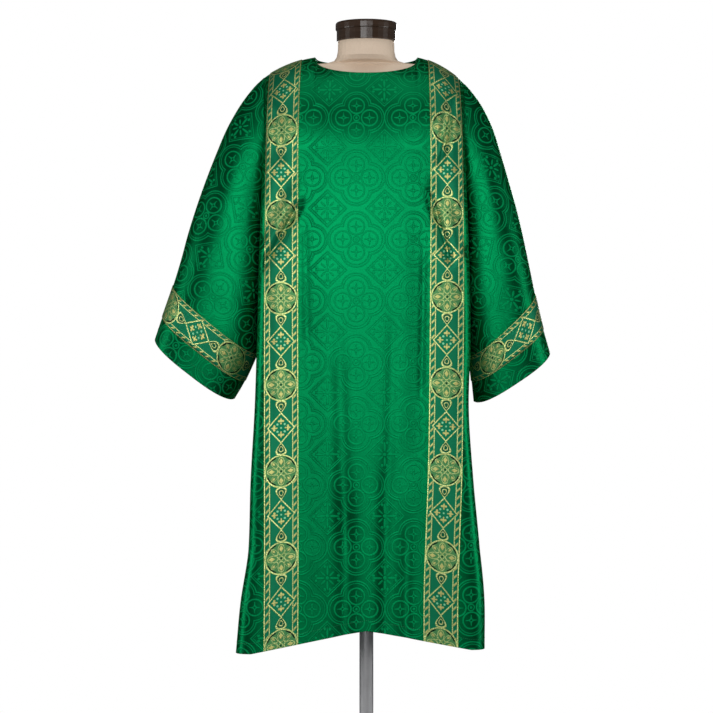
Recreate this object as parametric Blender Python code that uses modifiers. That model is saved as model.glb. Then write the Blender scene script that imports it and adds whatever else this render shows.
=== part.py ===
"""Dalmatic on a limbless dress form, with its bands, neck cap, pole and base.

Run it with blender --background --python part.py.  Units are metres and +Z is up.
The front faces -Y, +X is the viewer's right, and the origin is the middle of the
base's underside on the floor.

The cloth is worked out as sheets of points.  A panel has columns across the cloth
(distance from its middle line, measured along the cloth) and rows down it, from the
shoulder line or neckline to the hem.  A sleeve is a row of rings from the armhole to
the cuff, and its first ring is the armhole's own edge.  Bands are made from the points
of what they lie on, moved out.
"""

import math
from collections import namedtuple

import bmesh
import bpy
import numpy as np

COLLECTION = "dalmatic"

# ---- walls and seams ----
CLOTH = 0.002  # wall of the body and sleeves
GALLOON = 0.001  # wall of the woven bands
SEAM_GAP = 0.0003  # between pieces that are sewn or lie on each other
SEAM_HALF = 0.00025  # a panel's edge to the middle plane, at the shoulder and side seams
SLEEVE_SEAM_GAP = 0.0010  # across the armhole seam, where two slopes meet
CORNER_RELIEF = 0.0012  # the shoulder seam opens this much at the neck corner
CORNER_SPAN = 0.006

# ---- levels ----
NECK_CORNER_Z = 1.506  # where the shoulder line meets the neckline
CHEST_Z = 1.300  # below it the cloth hangs straight
CHEST_BOW = 0.75  # how far the chest swells between the neckline and that level
UNDERARM_Z = 1.100  # lower end of the armhole
SIDE_HEM_Z = 0.240

# ---- across the body ----
NECK_HALF = 0.110  # half of the neck opening
NECK_CURVE = 0.4  # how squarely the neckline drops at its corners
NECK_CLOTH = 0.118  # the same, along the cloth at chest level
BAND_IN = 0.142  # inner edge of a vertical band before the cloth is shared out, along the cloth
BAND_WIDTH = 0.0715
BAND_OUT = BAND_IN + BAND_WIDTH
ARMHOLE_DEPTH = 0.062  # how far the armhole's edge stands from the middle, front or back

# Outline and depth of the body, a row for each level.  press is the share of the half width
# by which the side falls inwards at its seam, and left_band and right_band are where the
# bands' inner edges hang, measured along the cloth from the middle plane.
Level = namedtuple("Level", "z left right front back square press left_band right_band")
LEVELS = (
    Level(1.430, 0.2170, 0.2090, 0.098, 0.095, 8.0, 0.066, 0.1440, 0.1350),
    Level(1.300, 0.2240, 0.2135, 0.124, 0.112, 8.0, 0.066, 0.1440, 0.1345),
    Level(1.100, 0.2305, 0.2200, 0.134, 0.108, 9.5, 0.066, 0.1440, 0.1340),
    Level(0.900, 0.2345, 0.2225, 0.138, 0.112, 11.5, 0.066, 0.1440, 0.1325),
    Level(0.750, 0.2385, 0.2175, 0.143, 0.118, 13.0, 0.058, 0.1435, 0.1310),
    Level(0.600, 0.2460, 0.2260, 0.151, 0.126, 14.0, 0.050, 0.1430, 0.1280),
    Level(0.450, 0.2505, 0.2395, 0.160, 0.134, 14.0, 0.060, 0.1425, 0.1225),
    Level(0.345, 0.2665, 0.2490, 0.167, 0.141, 14.0, 0.074, 0.1425, 0.1190),
    Level(0.240, 0.2760, 0.2490, 0.174, 0.148, 14.0, 0.084, 0.1430, 0.1185),
)
PRESS_SPAN = 0.075  # how far forward and back of the seam the side is pressed in

# Shoulder line of each side: drop = slope * d + bend * d^2, d measured from the neck corner.
# band_in, band_out and seam are where the columns cross the shoulder line.
Shoulder = namedtuple("Shoulder", "sign slope bend band_in band_out seam")
SHOULDERS = {
    "left": Shoulder(-1.0, 0.13, 2.4, 0.138, 0.2050, 0.2200),
    "right": Shoulder(1.0, 0.20, 3.6, 0.131, 0.1950, 0.2110),
}

# Half of the body: neckline and hem of the front and the back.
Half = namedtuple("Half", "sign neck_depth neck_drop hem_rise hem_power")
FRONT = Half(-1.0, 0.080, 0.0415, 0.060, 1.15)
BACK = Half(1.0, 0.062, 0.008, 0.012, 2.0)

# Largest folds of a panel: a soft ridge (height > 0) or trough from one point of the
# panel to another; x is measured along the cloth from the middle line.
Fold = namedtuple("Fold", "x_top z_top x_low z_low width height")
FRONT_FOLDS = (
    Fold(-0.040, 0.74, -0.044, 0.20, 0.034, -0.0050),
    Fold(-0.002, 0.76, 0.000, 0.20, 0.026, 0.0040),
    Fold(0.038, 0.74, 0.042, 0.20, 0.030, -0.0042),
    Fold(0.098, 0.58, 0.094, 0.20, 0.028, -0.0034),
    Fold(-0.118, 1.06, -0.116, 0.56, 0.026, -0.0034),
    Fold(0.116, 1.22, 0.114, 0.70, 0.024, -0.0034),
    Fold(-0.148, 1.27, -0.212, 1.12, 0.018, -0.0060),
    Fold(0.146, 1.26, 0.212, 1.10, 0.018, -0.0060),
)
BACK_FOLDS = (
    Fold(-0.020, 1.20, -0.028, 0.20, 0.034, -0.0070),
    Fold(0.052, 1.05, 0.060, 0.20, 0.034, 0.0070),
    Fold(-0.098, 0.95, -0.104, 0.20, 0.030, 0.0050),
    Fold(0.126, 0.90, 0.122, 0.20, 0.030, -0.0050),
)

FOLD_START, FOLD_END = 0.35, 0.25  # shares of a fold's length over which it rises and dies
ARCH_START = 0.187  # share of the fall from the chest where the hem's arch begins to tell

# ---- grid of the panels ----
NECK_COLUMNS = 6
COLLAR_COLUMNS = 1  # between the neck corner and the band
BAND_COLUMNS = 4
SIDE_PLACES = (0.08, 0.17, 0.27, 0.40, 0.66, 1.0)  # shares of the way from the band to the side edge
SIDE_STRIP = 0.06  # cloth between the band and the side edge, for placing the folds
SHOULDER_ROWS = (0.0, 0.02, 0.08, 0.18, 0.34, 0.54, 0.77, 1.0)  # share of the quarter turn
ARMHOLE_ROWS = (1.25, 1.20, 1.16, 1.125, 1.107, UNDERARM_Z)
SKIRT_ROWS = 15
SECTION_STEPS = 240  # fine points that a section's length is measured on

# ---- sleeves: a row for each ring, outer and inner end of its middle chord ----
Ring = namedtuple("Ring", "outer_x outer_z inner_x inner_z depth bulge")
LEFT_RINGS = (
    Ring(0.2200, 1.4627, 0.2170, 1.1000, 0.062, 0.000),
    Ring(0.2430, 1.4400, 0.2200, 1.0620, 0.067, 0.000),
    Ring(0.2710, 1.4030, 0.2225, 1.0280, 0.071, 0.000),
    Ring(0.3000, 1.3520, 0.2245, 0.9950, 0.075, 0.000),
    Ring(0.3245, 1.2940, 0.2260, 0.9680, 0.078, 0.001),
    Ring(0.3460, 1.2380, 0.2275, 0.9440, 0.080, 0.003),
    Ring(0.3655, 1.1820, 0.2290, 0.9210, 0.081, 0.005),
    Ring(0.3827, 1.1260, 0.2310, 0.9010, 0.082, 0.008),
    Ring(0.3978, 1.0700, 0.2325, 0.8850, 0.082, 0.010),
    Ring(0.4145, 1.0160, 0.2350, 0.8690, 0.082, 0.013),
    Ring(0.4370, 0.9510, 0.2610, 0.8110, 0.080, 0.014),
    Ring(0.4530, 0.9030, 0.2835, 0.7720, 0.078, 0.017),
)
RIGHT_RINGS = (
    Ring(0.2110, 1.4491, 0.2070, 1.1000, 0.062, 0.000),
    Ring(0.2270, 1.4310, 0.2090, 1.0600, 0.067, 0.000),
    Ring(0.2500, 1.3980, 0.2110, 1.0250, 0.071, 0.000),
    Ring(0.2727, 1.3500, 0.2120, 0.9920, 0.075, 0.000),
    Ring(0.2900, 1.2940, 0.2130, 0.9640, 0.078, 0.001),
    Ring(0.3060, 1.2380, 0.2140, 0.9400, 0.080, 0.003),
    Ring(0.3215, 1.1820, 0.2150, 0.9180, 0.081, 0.005),
    Ring(0.3345, 1.1260, 0.2160, 0.8980, 0.082, 0.008),
    Ring(0.3475, 1.0640, 0.2170, 0.8800, 0.082, 0.010),
    Ring(0.3612, 0.9975, 0.2200, 0.8640, 0.082, 0.013),
    Ring(0.3784, 0.9260, 0.2265, 0.8100, 0.080, 0.014),
    Ring(0.3930, 0.8740, 0.2310, 0.7660, 0.078, 0.017),
)
SLEEVE_ROWS = (0.0, 0.4, 1.0, 2.0, 3.0, 4.0, 5.0, 6.0, 7.0, 8.0, 9.0, 9.5, 10.0, 10.5, 11.0)
SLEEVE_BAND_ROWS = (9.0, 9.5, 10.0)
SEAM_BLEND = 3.5  # rings over which the armhole's shape gives way to the sleeve's own
SLEEVE_SQUARE = 2.8
SLEEVE_FOLD_FADE = 2.0  # rings over which a fold rises or dies
# Soft lengthwise folds of a sleeve: angle round the ring (0 at the outer end, 90 in front).
SleeveFold = namedtuple("SleeveFold", "degrees width first last height")
SLEEVE_FOLDS = (
    SleeveFold(44.0, 16.0, 2.0, 9.5, -0.002),
    SleeveFold(132.0, 18.0, 1.0, 11.0, 0.003),
    SleeveFold(240.0, 18.0, 2.0, 11.0, -0.007),
    SleeveFold(285.0, 18.0, 1.5, 11.0, 0.006),
)

# ---- dress form and stand ----
NECK_RADIUS = 0.061
CAP_RADIUS = 0.0665
CAP_NECK_RADIUS = 0.0640
CAP_BOTTOM_Z = 1.5405
CAP_LIP_Z = 1.5640  # underside of the cap's lip
CAP_TOP_Z = 1.5815
TORSO_BOTTOM_Z = 0.780
TORSO_SIDES = 32
SHOULDER_INSET = 0.004  # the form's shoulder ends this far inside the armhole seam
# The form's neck, and its torso below the shoulders; the shoulders themselves follow the
# cloth that rests on them.  half is the left half's width.
Waist = namedtuple("Waist", "z half front back")
NECK = (
    Waist(CAP_BOTTOM_Z - SEAM_GAP, NECK_RADIUS, 0.0590, 0.0590),
    Waist(1.520, 0.0615, 0.0590, 0.0590),
    Waist(1.507, 0.0640, 0.0575, 0.0575),
    Waist(1.498, 0.0700, 0.0480, 0.0480),
    Waist(1.493, 0.0880, 0.0340, 0.0340),
)
TORSO_NARROWER = 0.004  # the torso's right half is this much narrower than its left
NECK_NARROWER = 0.001  # and the neck's, where it spreads into the shoulders
TORSO = (
    Waist(1.405, 0.2020, 0.072, 0.070),
    Waist(1.370, 0.2000, 0.086, 0.080),
    Waist(1.300, 0.1900, 0.100, 0.090),
    Waist(1.200, 0.1780, 0.104, 0.088),
    Waist(1.100, 0.1660, 0.102, 0.082),
    Waist(1.020, 0.1590, 0.100, 0.084),
    Waist(0.940, 0.1660, 0.104, 0.092),
    Waist(0.860, 0.1740, 0.108, 0.100),
    Waist(0.815, 0.1700, 0.106, 0.100),
    Waist(0.790, 0.1580, 0.098, 0.092),
    Waist(TORSO_BOTTOM_Z, 0.1400, 0.086, 0.080),
)
# Shoulder ridge that carries the cloth: drop below the neck corner and the form's half depth.
Ridge = namedtuple("Ridge", "drop depth")
RIDGE = (
    Ridge(0.016, 0.030),
    Ridge(0.022, 0.034),
    Ridge(0.029, 0.039),
    Ridge(0.037, 0.045),
    Ridge(0.046, 0.052),
)
LIP_EDGE = 0.005  # rounding of the cap's upper edge
LOW_EDGE = 0.002  # rounding of the lip's and the base's lower edge
POLE_RADIUS = 0.0150
BASE_RADIUS = 0.190
BASE_THICK = 0.022
BASE_EDGE = 0.008
CAP_SIDES = 32
BASE_SIDES = 40
POLE_SIDES = 20
EDGE_STEPS = 4  # points round a quarter-round edge
SHARP_ANGLE = math.radians(40.0)  # steeper edges than this stay crisp

# ---- colours ----
GREEN = (0.003, 0.160, 0.060, 1.0)
GOLD = (0.380, 0.330, 0.090, 1.0)
LINEN = (0.560, 0.440, 0.300, 1.0)
DARK_WOOD = (0.022, 0.014, 0.010, 1.0)
STEEL = (0.550, 0.550, 0.560, 1.0)


def smooth_step(x):
    """0 below 0, 1 above 1, and an even S curve between."""
    x = np.clip(x, 0.0, 1.0)
    return x * x * (3.0 - 2.0 * x)


def smooth_table(position, values):
    """Value at each position along a table, on a smooth curve through its entries."""
    values = np.asarray(values, dtype=float)
    position = np.clip(np.asarray(position, dtype=float), 0.0, len(values) - 1.0)
    index = np.minimum(position.astype(int), len(values) - 2)
    t = position - index
    slope = np.gradient(values)
    a, b = values[index], values[index + 1]
    return (
        a * (2 * t**3 - 3 * t**2 + 1)
        + slope[index] * (t**3 - 2 * t**2 + t)
        + b * (3 * t**2 - 2 * t**3)
        + slope[index + 1] * (t**3 - t**2)
    )


def level_value(z, name):
    """One size of the body at height z, on a smooth curve through its levels."""
    place = np.interp(-z, [-level.z for level in LEVELS], range(len(LEVELS)))
    return float(smooth_table(place, [getattr(level, name) for level in LEVELS]))


def section(z, side, half):
    """Fine points of the body's outline at height z, from the middle to the side seam.

    Returns the length along the cloth and x and y, with y 0 at the side.
    """
    width = level_value(z, "left" if side.sign < 0 else "right")
    depth = level_value(z, "front" if half.sign < 0 else "back")
    square = level_value(z, "square")
    turn = np.linspace(0.0, math.pi / 2, SECTION_STEPS)
    x = width * np.sin(turn) ** (2.0 / square)
    y = depth * np.cos(turn) ** (2.0 / square)
    x = x * (1.0 - level_value(z, "press") * np.exp(-((y / PRESS_SPAN) ** 2)))
    length = np.concatenate([[0.0], np.cumsum(np.hypot(np.diff(x), np.diff(y)))])
    return length, x, y


def armhole_edge(z):
    """Distance of the panel's edge from the middle plane: the armhole's half depth, or the seam."""
    if z <= UNDERARM_Z:
        return SEAM_HALF
    rise = min(1.0, (z - UNDERARM_Z) / (CHEST_Z - UNDERARM_Z))
    return max(SEAM_HALF, ARMHOLE_DEPTH * math.sqrt(1.0 - (1.0 - rise) ** 2))


def columns():
    """Places across half a panel: (length along the cloth or None, share of the side strip)."""
    neck = [NECK_CLOTH * i / NECK_COLUMNS for i in range(NECK_COLUMNS)]
    collar = [NECK_CLOTH + (BAND_IN - NECK_CLOTH) * i / COLLAR_COLUMNS for i in range(COLLAR_COLUMNS)]
    band = [BAND_IN + BAND_WIDTH * i / BAND_COLUMNS for i in range(BAND_COLUMNS + 1)]
    across = neck + collar + band
    strip = [0.0] * len(across) + list(SIDE_PLACES)
    across += [BAND_OUT] * len(SIDE_PLACES)
    return np.array(across), np.array(strip)


BAND_FIRST = NECK_COLUMNS + COLLAR_COLUMNS
BAND_LAST = BAND_FIRST + BAND_COLUMNS


def hanging_row(z, side, half):
    """x and y of one row of half a panel at height z."""
    across, strip = columns()
    length, x, y = section(z, side, half)
    edge = np.interp(-armhole_edge(z), -y, length)
    band = level_value(z, "left_band" if side.sign < 0 else "right_band")
    place = np.interp(across, [0.0, BAND_IN, BAND_OUT], [0.0, band, band + BAND_WIDTH])
    place = place + strip * (edge - band - BAND_WIDTH)
    return side.sign * np.interp(place, length, x), half.sign * np.interp(place, length, y)


def top_row(side, half):
    """Shoulder line and neckline of half a panel."""
    across, strip = columns()
    x = np.interp(
        across,
        [0.0, NECK_CLOTH, BAND_IN, BAND_OUT],
        [0.0, NECK_HALF, side.band_in, side.band_out],
    )
    x = x + strip * (side.seam - side.band_out)
    open_part = np.clip(1.0 - (x / NECK_HALF) ** 2, 0.0, 1.0)
    relief = CORNER_RELIEF * np.exp(-(((x - NECK_HALF) / CORNER_SPAN) ** 2))
    y = np.maximum(half.neck_depth * np.sqrt(open_part), SEAM_HALF + relief)
    beyond = np.maximum(x - NECK_HALF, 0.0)
    z = NECK_CORNER_Z - side.slope * beyond - side.bend * beyond**2
    z = z - half.neck_drop * open_part**NECK_CURVE
    return side.sign * x, half.sign * y, z


def row_heights():
    """Heights of the hanging rows at the side edge, below the chest row."""
    skirt = np.linspace(UNDERARM_Z, SIDE_HEM_Z, SKIRT_ROWS + 1)[1:]
    return np.concatenate([ARMHOLE_ROWS, skirt])


def half_panel(side, half):
    """Points of half a panel, rows by columns by 3, before its folds."""
    top_x, top_y, top_z = top_row(side, half)
    chest_x, chest_y = hanging_row(CHEST_Z, side, half)
    across, _ = columns()
    turn = np.array(SHOULDER_ROWS)[:, None] * math.pi / 2
    share = np.array(SHOULDER_ROWS)[:, None]
    over = np.clip(across / NECK_CLOTH, 0.0, 1.0) ** 2  # 1 where the cloth turns over the shoulder
    bowed = share + CHEST_BOW * share * (1.0 - share)
    forward = over * np.sin(turn) + (1.0 - over) * bowed
    down = over * (1.0 - np.cos(turn)) + (1.0 - over) * share
    x = top_x + (chest_x - top_x) * share
    y = top_y + (chest_y - top_y) * forward
    z = top_z + (CHEST_Z - top_z) * down
    heights = row_heights()
    hanging = [hanging_row(height, side, half) for height in heights]
    x = np.vstack([x] + [row[0] for row in hanging])
    y = np.vstack([y] + [row[1] for row in hanging])
    middle = np.clip(1.0 - (np.abs(x[-1]) / np.abs(x[-1]).max()) ** half.hem_power, 0.0, 1.0)
    fall = (CHEST_Z - heights[:, None]) / (CHEST_Z - SIDE_HEM_Z)
    z = np.vstack([z, heights[:, None] + half.hem_rise * middle * smooth_step(fall - ARCH_START)])
    return np.stack([x, y, z], axis=-1)


def fold_push(points, across, folds):
    """Height of the folds at each point: the sum of soft ridges and troughs along short lines."""
    push = np.zeros(points.shape[:2])
    for fold in folds:
        start = np.array([fold.x_top, fold.z_top])
        run = np.array([fold.x_low, fold.z_low]) - start
        flat = np.stack([across, points[..., 2]], axis=-1) - start
        along = flat @ run / (run @ run)
        aside = (flat[..., 0] * run[1] - flat[..., 1] * run[0]) / math.hypot(*run)
        fade = smooth_step(along / FOLD_START) * smooth_step((1.0 + FOLD_END - along) / FOLD_END)
        push += fold.height * fade * np.exp(-((aside / fold.width) ** 2))
    return push


def panel(half, folds):
    """Whole panel from its left edge to its right edge, with its folds."""
    left = half_panel(SHOULDERS["left"], half)
    right = half_panel(SHOULDERS["right"], half)
    points = np.concatenate([left[:, :0:-1], right], axis=1)
    across, strip = columns()
    across = across + strip * SIDE_STRIP
    across = np.concatenate([-across[:0:-1], across])
    points[..., 1] += half.sign * fold_push(points, np.broadcast_to(across, points.shape[:2]), folds)
    return points


def armhole_ring(front, back, column):
    """The armhole's edge as a ring: down the front from the shoulder, and up the back."""
    last = len(SHOULDER_ROWS) + len(ARMHOLE_ROWS) - 1
    down = front[: last + 1, column].copy()
    up = back[last - 1 : 0 : -1, column].copy()
    down[0, 1] = 0.0
    down[-1, 1] = 0.0
    return np.concatenate([down, up])


def ring_angles(edge):
    """Angle of each armhole point round the ring, 0 at the top, and evenly spread angles."""
    count = len(edge)
    middle_z, half_z = edge_middle(edge)
    seam = np.arccos(np.clip((edge[:, 2] - middle_z) / half_z, -1.0, 1.0))
    seam = np.where(np.arange(count) > count // 2, 2 * math.pi - seam, seam)
    return seam, np.linspace(0.0, 2 * math.pi, count, endpoint=False)


def edge_middle(edge):
    """Middle height and half height of the armhole's edge."""
    top, low = edge[0, 2], edge[len(edge) // 2, 2]
    return (top + low) / 2, (top - low) / 2


def squared(value, share):
    """A sine or cosine drawn out towards a squarer ring, by the given share."""
    square = np.sign(value) * np.abs(value) ** (2.0 / SLEEVE_SQUARE)
    return value + (square - value) * share


def seam_shift(side, rings, edge, seam_angle):
    """From the plain first ring to the armhole's edge, a seam's gap outside it."""
    first = rings[0]
    middle_z, half_z = edge_middle(edge)
    middle_x, half_x = (first.outer_x + first.inner_x) / 2, (first.outer_x - first.inner_x) / 2
    plain = np.stack(
        [
            side.sign * (middle_x + half_x * np.cos(seam_angle)),
            -first.depth * np.sin(seam_angle),
            middle_z + half_z * np.cos(seam_angle),
        ],
        axis=-1,
    )
    return edge + np.array([side.sign * SLEEVE_SEAM_GAP, 0.0, 0.0]) - plain


def sleeve_points(rows, side, rings, edge):
    """Rings of the sleeve at the given rows, each with the armhole ring's count of points.

    A ring is middle + half chord * cos(angle) + depth * sin(angle), squared up a little,
    and its front and back lean towards the cuff by the bulge.
    """
    row = np.array(rows, dtype=float)[:, None]
    at = {name: smooth_table(row, [getattr(r, name) for r in rings]) for name in Ring._fields}
    seam_angle, even_angle = ring_angles(edge)
    own = smooth_step(row / SEAM_BLEND)
    angle = seam_angle + (even_angle - seam_angle) * own
    along, across = squared(np.cos(angle), own), squared(np.sin(angle), own)
    half_x, half_z = (at["outer_x"] - at["inner_x"]) / 2, (at["outer_z"] - at["inner_z"]) / 2
    lean = at["bulge"] * np.abs(np.sin(angle)) / np.hypot(half_x, half_z)
    x = (at["outer_x"] + at["inner_x"]) / 2 + half_x * along + lean * half_z
    z = (at["outer_z"] + at["inner_z"]) / 2 + half_z * along - lean * half_x
    y = -(at["depth"] + sleeve_push(np.degrees(angle), row)) * across
    plain = np.stack([side.sign * x, y, z], axis=-1)
    return plain + seam_shift(side, rings, edge, seam_angle) * (1.0 - own)[..., None]


def sleeve_push(degrees, row):
    """Height of the sleeve's lengthwise folds at each angle and row."""
    push = np.zeros(np.broadcast(degrees, row).shape)
    for fold in SLEEVE_FOLDS:
        fade = smooth_step((row - fold.first) / SLEEVE_FOLD_FADE)
        fade = fade * smooth_step((fold.last + 1.0 - row) / SLEEVE_FOLD_FADE)
        push = push + fold.height * fade * np.exp(-(((degrees - fold.degrees) / fold.width) ** 2))
    return push


def grid_normals(points, closed):
    """Outward direction at each point of a grid, from its neighbours in both directions."""
    if closed:
        across = np.roll(points, -1, axis=1) - np.roll(points, 1, axis=1)
    else:
        across = np.gradient(points, axis=1)
    down = np.gradient(points, axis=0)
    normal = np.cross(across, down)
    return normal / np.linalg.norm(normal, axis=-1, keepdims=True)


def sheet_object(name, points, closed, flipped, thickness, material, turned_rows=0):
    """Open sheet on a grid of points, closed round where asked, given its wall by Solidify.

    The first turned_rows rows run up the cloth, so their diagonals are crossed over to
    match those of the panel that they lie on.
    """
    rows, count = points.shape[:2]
    mesh = bmesh.new()
    verts = [[mesh.verts.new(point) for point in row] for row in points]
    for r in range(rows - 1):
        for c in range(count if closed else count - 1):
            n = (c + 1) % count
            corners = (verts[r][c], verts[r + 1][c], verts[r + 1][n], verts[r][n])
            for triangle in ((0, 1, 3), (1, 2, 3)) if r < turned_rows else ((0, 1, 2), (0, 2, 3)):
                face = [corners[i] for i in triangle]
                mesh.faces.new(face[::-1] if flipped else face)
    data = bpy.data.meshes.new(name)
    mesh.to_mesh(data)
    mesh.free()
    piece = bpy.data.objects.new(name, data)
    wall = piece.modifiers.new("wall", "SOLIDIFY")
    wall.thickness = thickness
    wall.offset = -1.0
    wall.use_quality_normals = True
    return finish_piece(piece, material)


def finish_piece(piece, material):
    """Put a piece in the object's collection, with its material and smooth shading."""
    if piece.name not in bpy.data.collections[COLLECTION].objects:
        bpy.data.collections[COLLECTION].objects.link(piece)
    piece.data.materials.clear()
    piece.data.materials.append(material)
    piece.data.shade_smooth()
    piece.data.set_sharp_from_angle(angle=SHARP_ANGLE)
    return piece


def make_material(name, colour, roughness, metallic=0.0):
    """Principled material with a plain colour."""
    material = bpy.data.materials.new(name)
    material.use_nodes = True
    shader = material.node_tree.nodes["Principled BSDF"]
    shader.inputs["Base Color"].default_value = colour
    shader.inputs["Roughness"].default_value = roughness
    shader.inputs["Metallic"].default_value = metallic
    return material


def make_bands(front, back, materials):
    """Vertical bands: one strip each side, from the front hem over the shoulder to the back hem."""
    middle = front.shape[1] // 2
    lift = SEAM_GAP + GALLOON
    spans = {
        "left_orphrey": slice(middle - BAND_LAST, middle - BAND_FIRST + 1),
        "right_orphrey": slice(middle + BAND_FIRST, middle + BAND_LAST + 1),
    }
    front_out = front + lift * outward(front, FRONT)
    back_out = back + lift * outward(back, BACK)
    for name, span in spans.items():
        top = (front_out[0, span] + back_out[0, span]) / 2
        top[:, 1] = 0.0
        strip = np.concatenate([front_out[:0:-1, span], top[None], back_out[1:, span]])
        sheet_object(name, strip, False, True, GALLOON, materials["gold"], len(front) - 1)


def outward(points, half):
    """Outward directions of a panel; along the shoulder line they point straight up its slope."""
    normal = grid_normals(points, False) * half.sign
    top = normal[0]
    top[:, 1] = 0.0
    normal[0] = top / np.linalg.norm(top, axis=-1, keepdims=True)
    return normal


def make_cloth(materials):
    """Panels, sleeves and bands."""
    front = panel(FRONT, FRONT_FOLDS)
    back = panel(BACK, BACK_FOLDS)
    sheet_object("front_panel", front, False, False, CLOTH, materials["green"])
    sheet_object("back_panel", back, False, True, CLOTH, materials["green"])
    make_bands(front, back, materials)
    for name, rings, column in (("left", LEFT_RINGS, 0), ("right", RIGHT_RINGS, -1)):
        side = SHOULDERS[name]
        edge = armhole_ring(front, back, column)
        tube = sleeve_points(SLEEVE_ROWS, side, rings, edge)
        flipped = side.sign > 0
        sheet_object(f"{name}_sleeve", tube, True, flipped, CLOTH, materials["green"])
        normal = grid_normals(tube, True) * side.sign
        first = SLEEVE_ROWS.index(SLEEVE_BAND_ROWS[0])
        band = slice(first, first + len(SLEEVE_BAND_ROWS))
        ring = (tube + (SEAM_GAP + GALLOON) * normal)[band]
        sheet_object(f"{name}_sleeve_band", ring, True, flipped, GALLOON, materials["gold"])


def shoulder_reach(side, z):
    """How far out the form's shoulder reaches at height z, just under the cloth's inner side."""
    x = np.linspace(NECK_HALF, side.seam - SHOULDER_INSET, SECTION_STEPS)
    beyond = x - NECK_HALF
    line = NECK_CORNER_Z - side.slope * beyond - side.bend * beyond**2
    slope = side.slope + 2 * side.bend * beyond
    line = line - (CLOTH + SEAM_GAP) * np.sqrt(1.0 + slope**2)
    return float(np.interp(-z, -line, x))


def torso_rings():
    """Rings of the form from the neck down: height, left, right, front and back half sizes."""
    rings = [(w.z, w.half, w.half - NECK_NARROWER, w.front, w.back) for w in NECK]
    for ridge in RIDGE:
        z = NECK_CORNER_Z - CLOTH - SEAM_GAP - ridge.drop
        reach = [shoulder_reach(SHOULDERS[name], z) for name in ("left", "right")]
        rings.append((z, reach[0], reach[1], ridge.depth, ridge.depth))
    rings += [(w.z, w.half, w.half - TORSO_NARROWER, w.front, w.back) for w in TORSO]
    return rings


def make_form(materials):
    """Torso with its neck: a loft of rounded sections, closed at the top and the bottom."""
    turn = np.linspace(0.0, 2 * math.pi, TORSO_SIDES, endpoint=False)
    mesh = bmesh.new()
    loops = []
    for z, left, right, front, back in torso_rings():
        x = np.where(np.cos(turn) < 0, left, right) * np.cos(turn)
        y = np.where(np.sin(turn) < 0, front, back) * np.sin(turn)
        loops.append([mesh.verts.new((px, py, z)) for px, py in zip(x, y)])
    for upper, lower in zip(loops, loops[1:]):
        for i in range(TORSO_SIDES):
            n = (i + 1) % TORSO_SIDES
            mesh.faces.new((upper[i], lower[i], lower[n], upper[n]))
    mesh.faces.new(loops[0])
    mesh.faces.new(loops[-1][::-1])
    data = bpy.data.meshes.new("form_torso")
    mesh.to_mesh(data)
    mesh.free()
    finish_piece(bpy.data.objects.new("form_torso", data), materials["linen"])


def turned(name, profile, steps, material):
    """Turned piece: a profile of (radius, height) run down its outer side, spun by Screw."""
    data = bpy.data.meshes.new(name)
    points = [(radius, 0.0, height) for radius, height in profile]
    data.from_pydata(points, [(i, i + 1) for i in range(len(points) - 1)], [])
    piece = bpy.data.objects.new(name, data)
    spin = piece.modifiers.new("spin", "SCREW")
    spin.steps = spin.render_steps = steps
    spin.use_merge_vertices = True
    spin.merge_threshold = 0.0001
    spin.use_normal_calculate = True
    return finish_piece(piece, material)


def rounded(radius, height, edge, low_edge):
    """Profile of a disc from its top centre to its bottom centre, with quarter-round edges."""
    top = [
        (radius - edge + edge * math.sin(a), height - edge + edge * math.cos(a))
        for a in np.linspace(0.0, math.pi / 2, EDGE_STEPS)
    ]
    low = [
        (radius - low_edge + low_edge * math.cos(a), low_edge - low_edge * math.sin(a))
        for a in np.linspace(0.0, math.pi / 2, EDGE_STEPS)
    ]
    return [(0.0, height)] + top + low + [(0.0, 0.0)]


def make_stand(materials):
    """Neck cap, pole and round base."""
    lip = rounded(CAP_RADIUS, CAP_TOP_Z - CAP_LIP_Z, LIP_EDGE, LOW_EDGE)[:-2]
    cap = [(r, CAP_LIP_Z + h) for r, h in lip]
    cap += [(CAP_NECK_RADIUS, CAP_LIP_Z), (CAP_NECK_RADIUS, CAP_BOTTOM_Z), (0.0, CAP_BOTTOM_Z)]
    turned("neck_cap", cap, CAP_SIDES, materials["wood"])
    base = rounded(BASE_RADIUS, BASE_THICK, BASE_EDGE, LOW_EDGE)
    turned("stand_base", base, BASE_SIDES, materials["wood"])
    low, high = BASE_THICK + SEAM_GAP, TORSO_BOTTOM_Z - SEAM_GAP
    bpy.ops.mesh.primitive_cylinder_add(
        vertices=POLE_SIDES, radius=POLE_RADIUS, depth=high - low, location=(0.0, 0.0, (low + high) / 2)
    )
    pole = bpy.context.object
    pole.name = pole.data.name = "stand_pole"
    for holder in list(pole.users_collection):
        holder.objects.unlink(pole)
    finish_piece(pole, materials["steel"])


def main():
    """Clear the scene and build every piece."""
    for item in list(bpy.data.objects):
        bpy.data.objects.remove(item, do_unlink=True)
    bpy.context.scene.collection.children.link(bpy.data.collections.new(COLLECTION))
    materials = {
        "green": make_material("green_damask", GREEN, 0.45),
        "gold": make_material("gold_galloon", GOLD, 0.50),
        "linen": make_material("form_linen", LINEN, 0.90),
        "wood": make_material("dark_wood", DARK_WOOD, 0.30),
        "steel": make_material("pole_steel", STEEL, 0.30, 1.0),
    }
    make_cloth(materials)
    make_form(materials)
    make_stand(materials)


main()
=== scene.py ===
"""Dalmatic of green damask with woven gold bands, hung on a limbless dress form.

Units are metres, +Z is up and the garment's front faces -Y.  The cloth is worked out as
grids of points: a panel has columns across the cloth and rows from its neckline to its
hem, a sleeve has rings from the armhole to the cuff, and a band is a strip of the cloth's
own points, moved out.  Each grid carries a UV map in metres along the cloth, and the
woven patterns are drawn on that map.
"""

import logging
import math
from dataclasses import dataclass, field
from enum import Enum
from functools import reduce
from typing import Any, Callable, NamedTuple, Sequence

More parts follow.
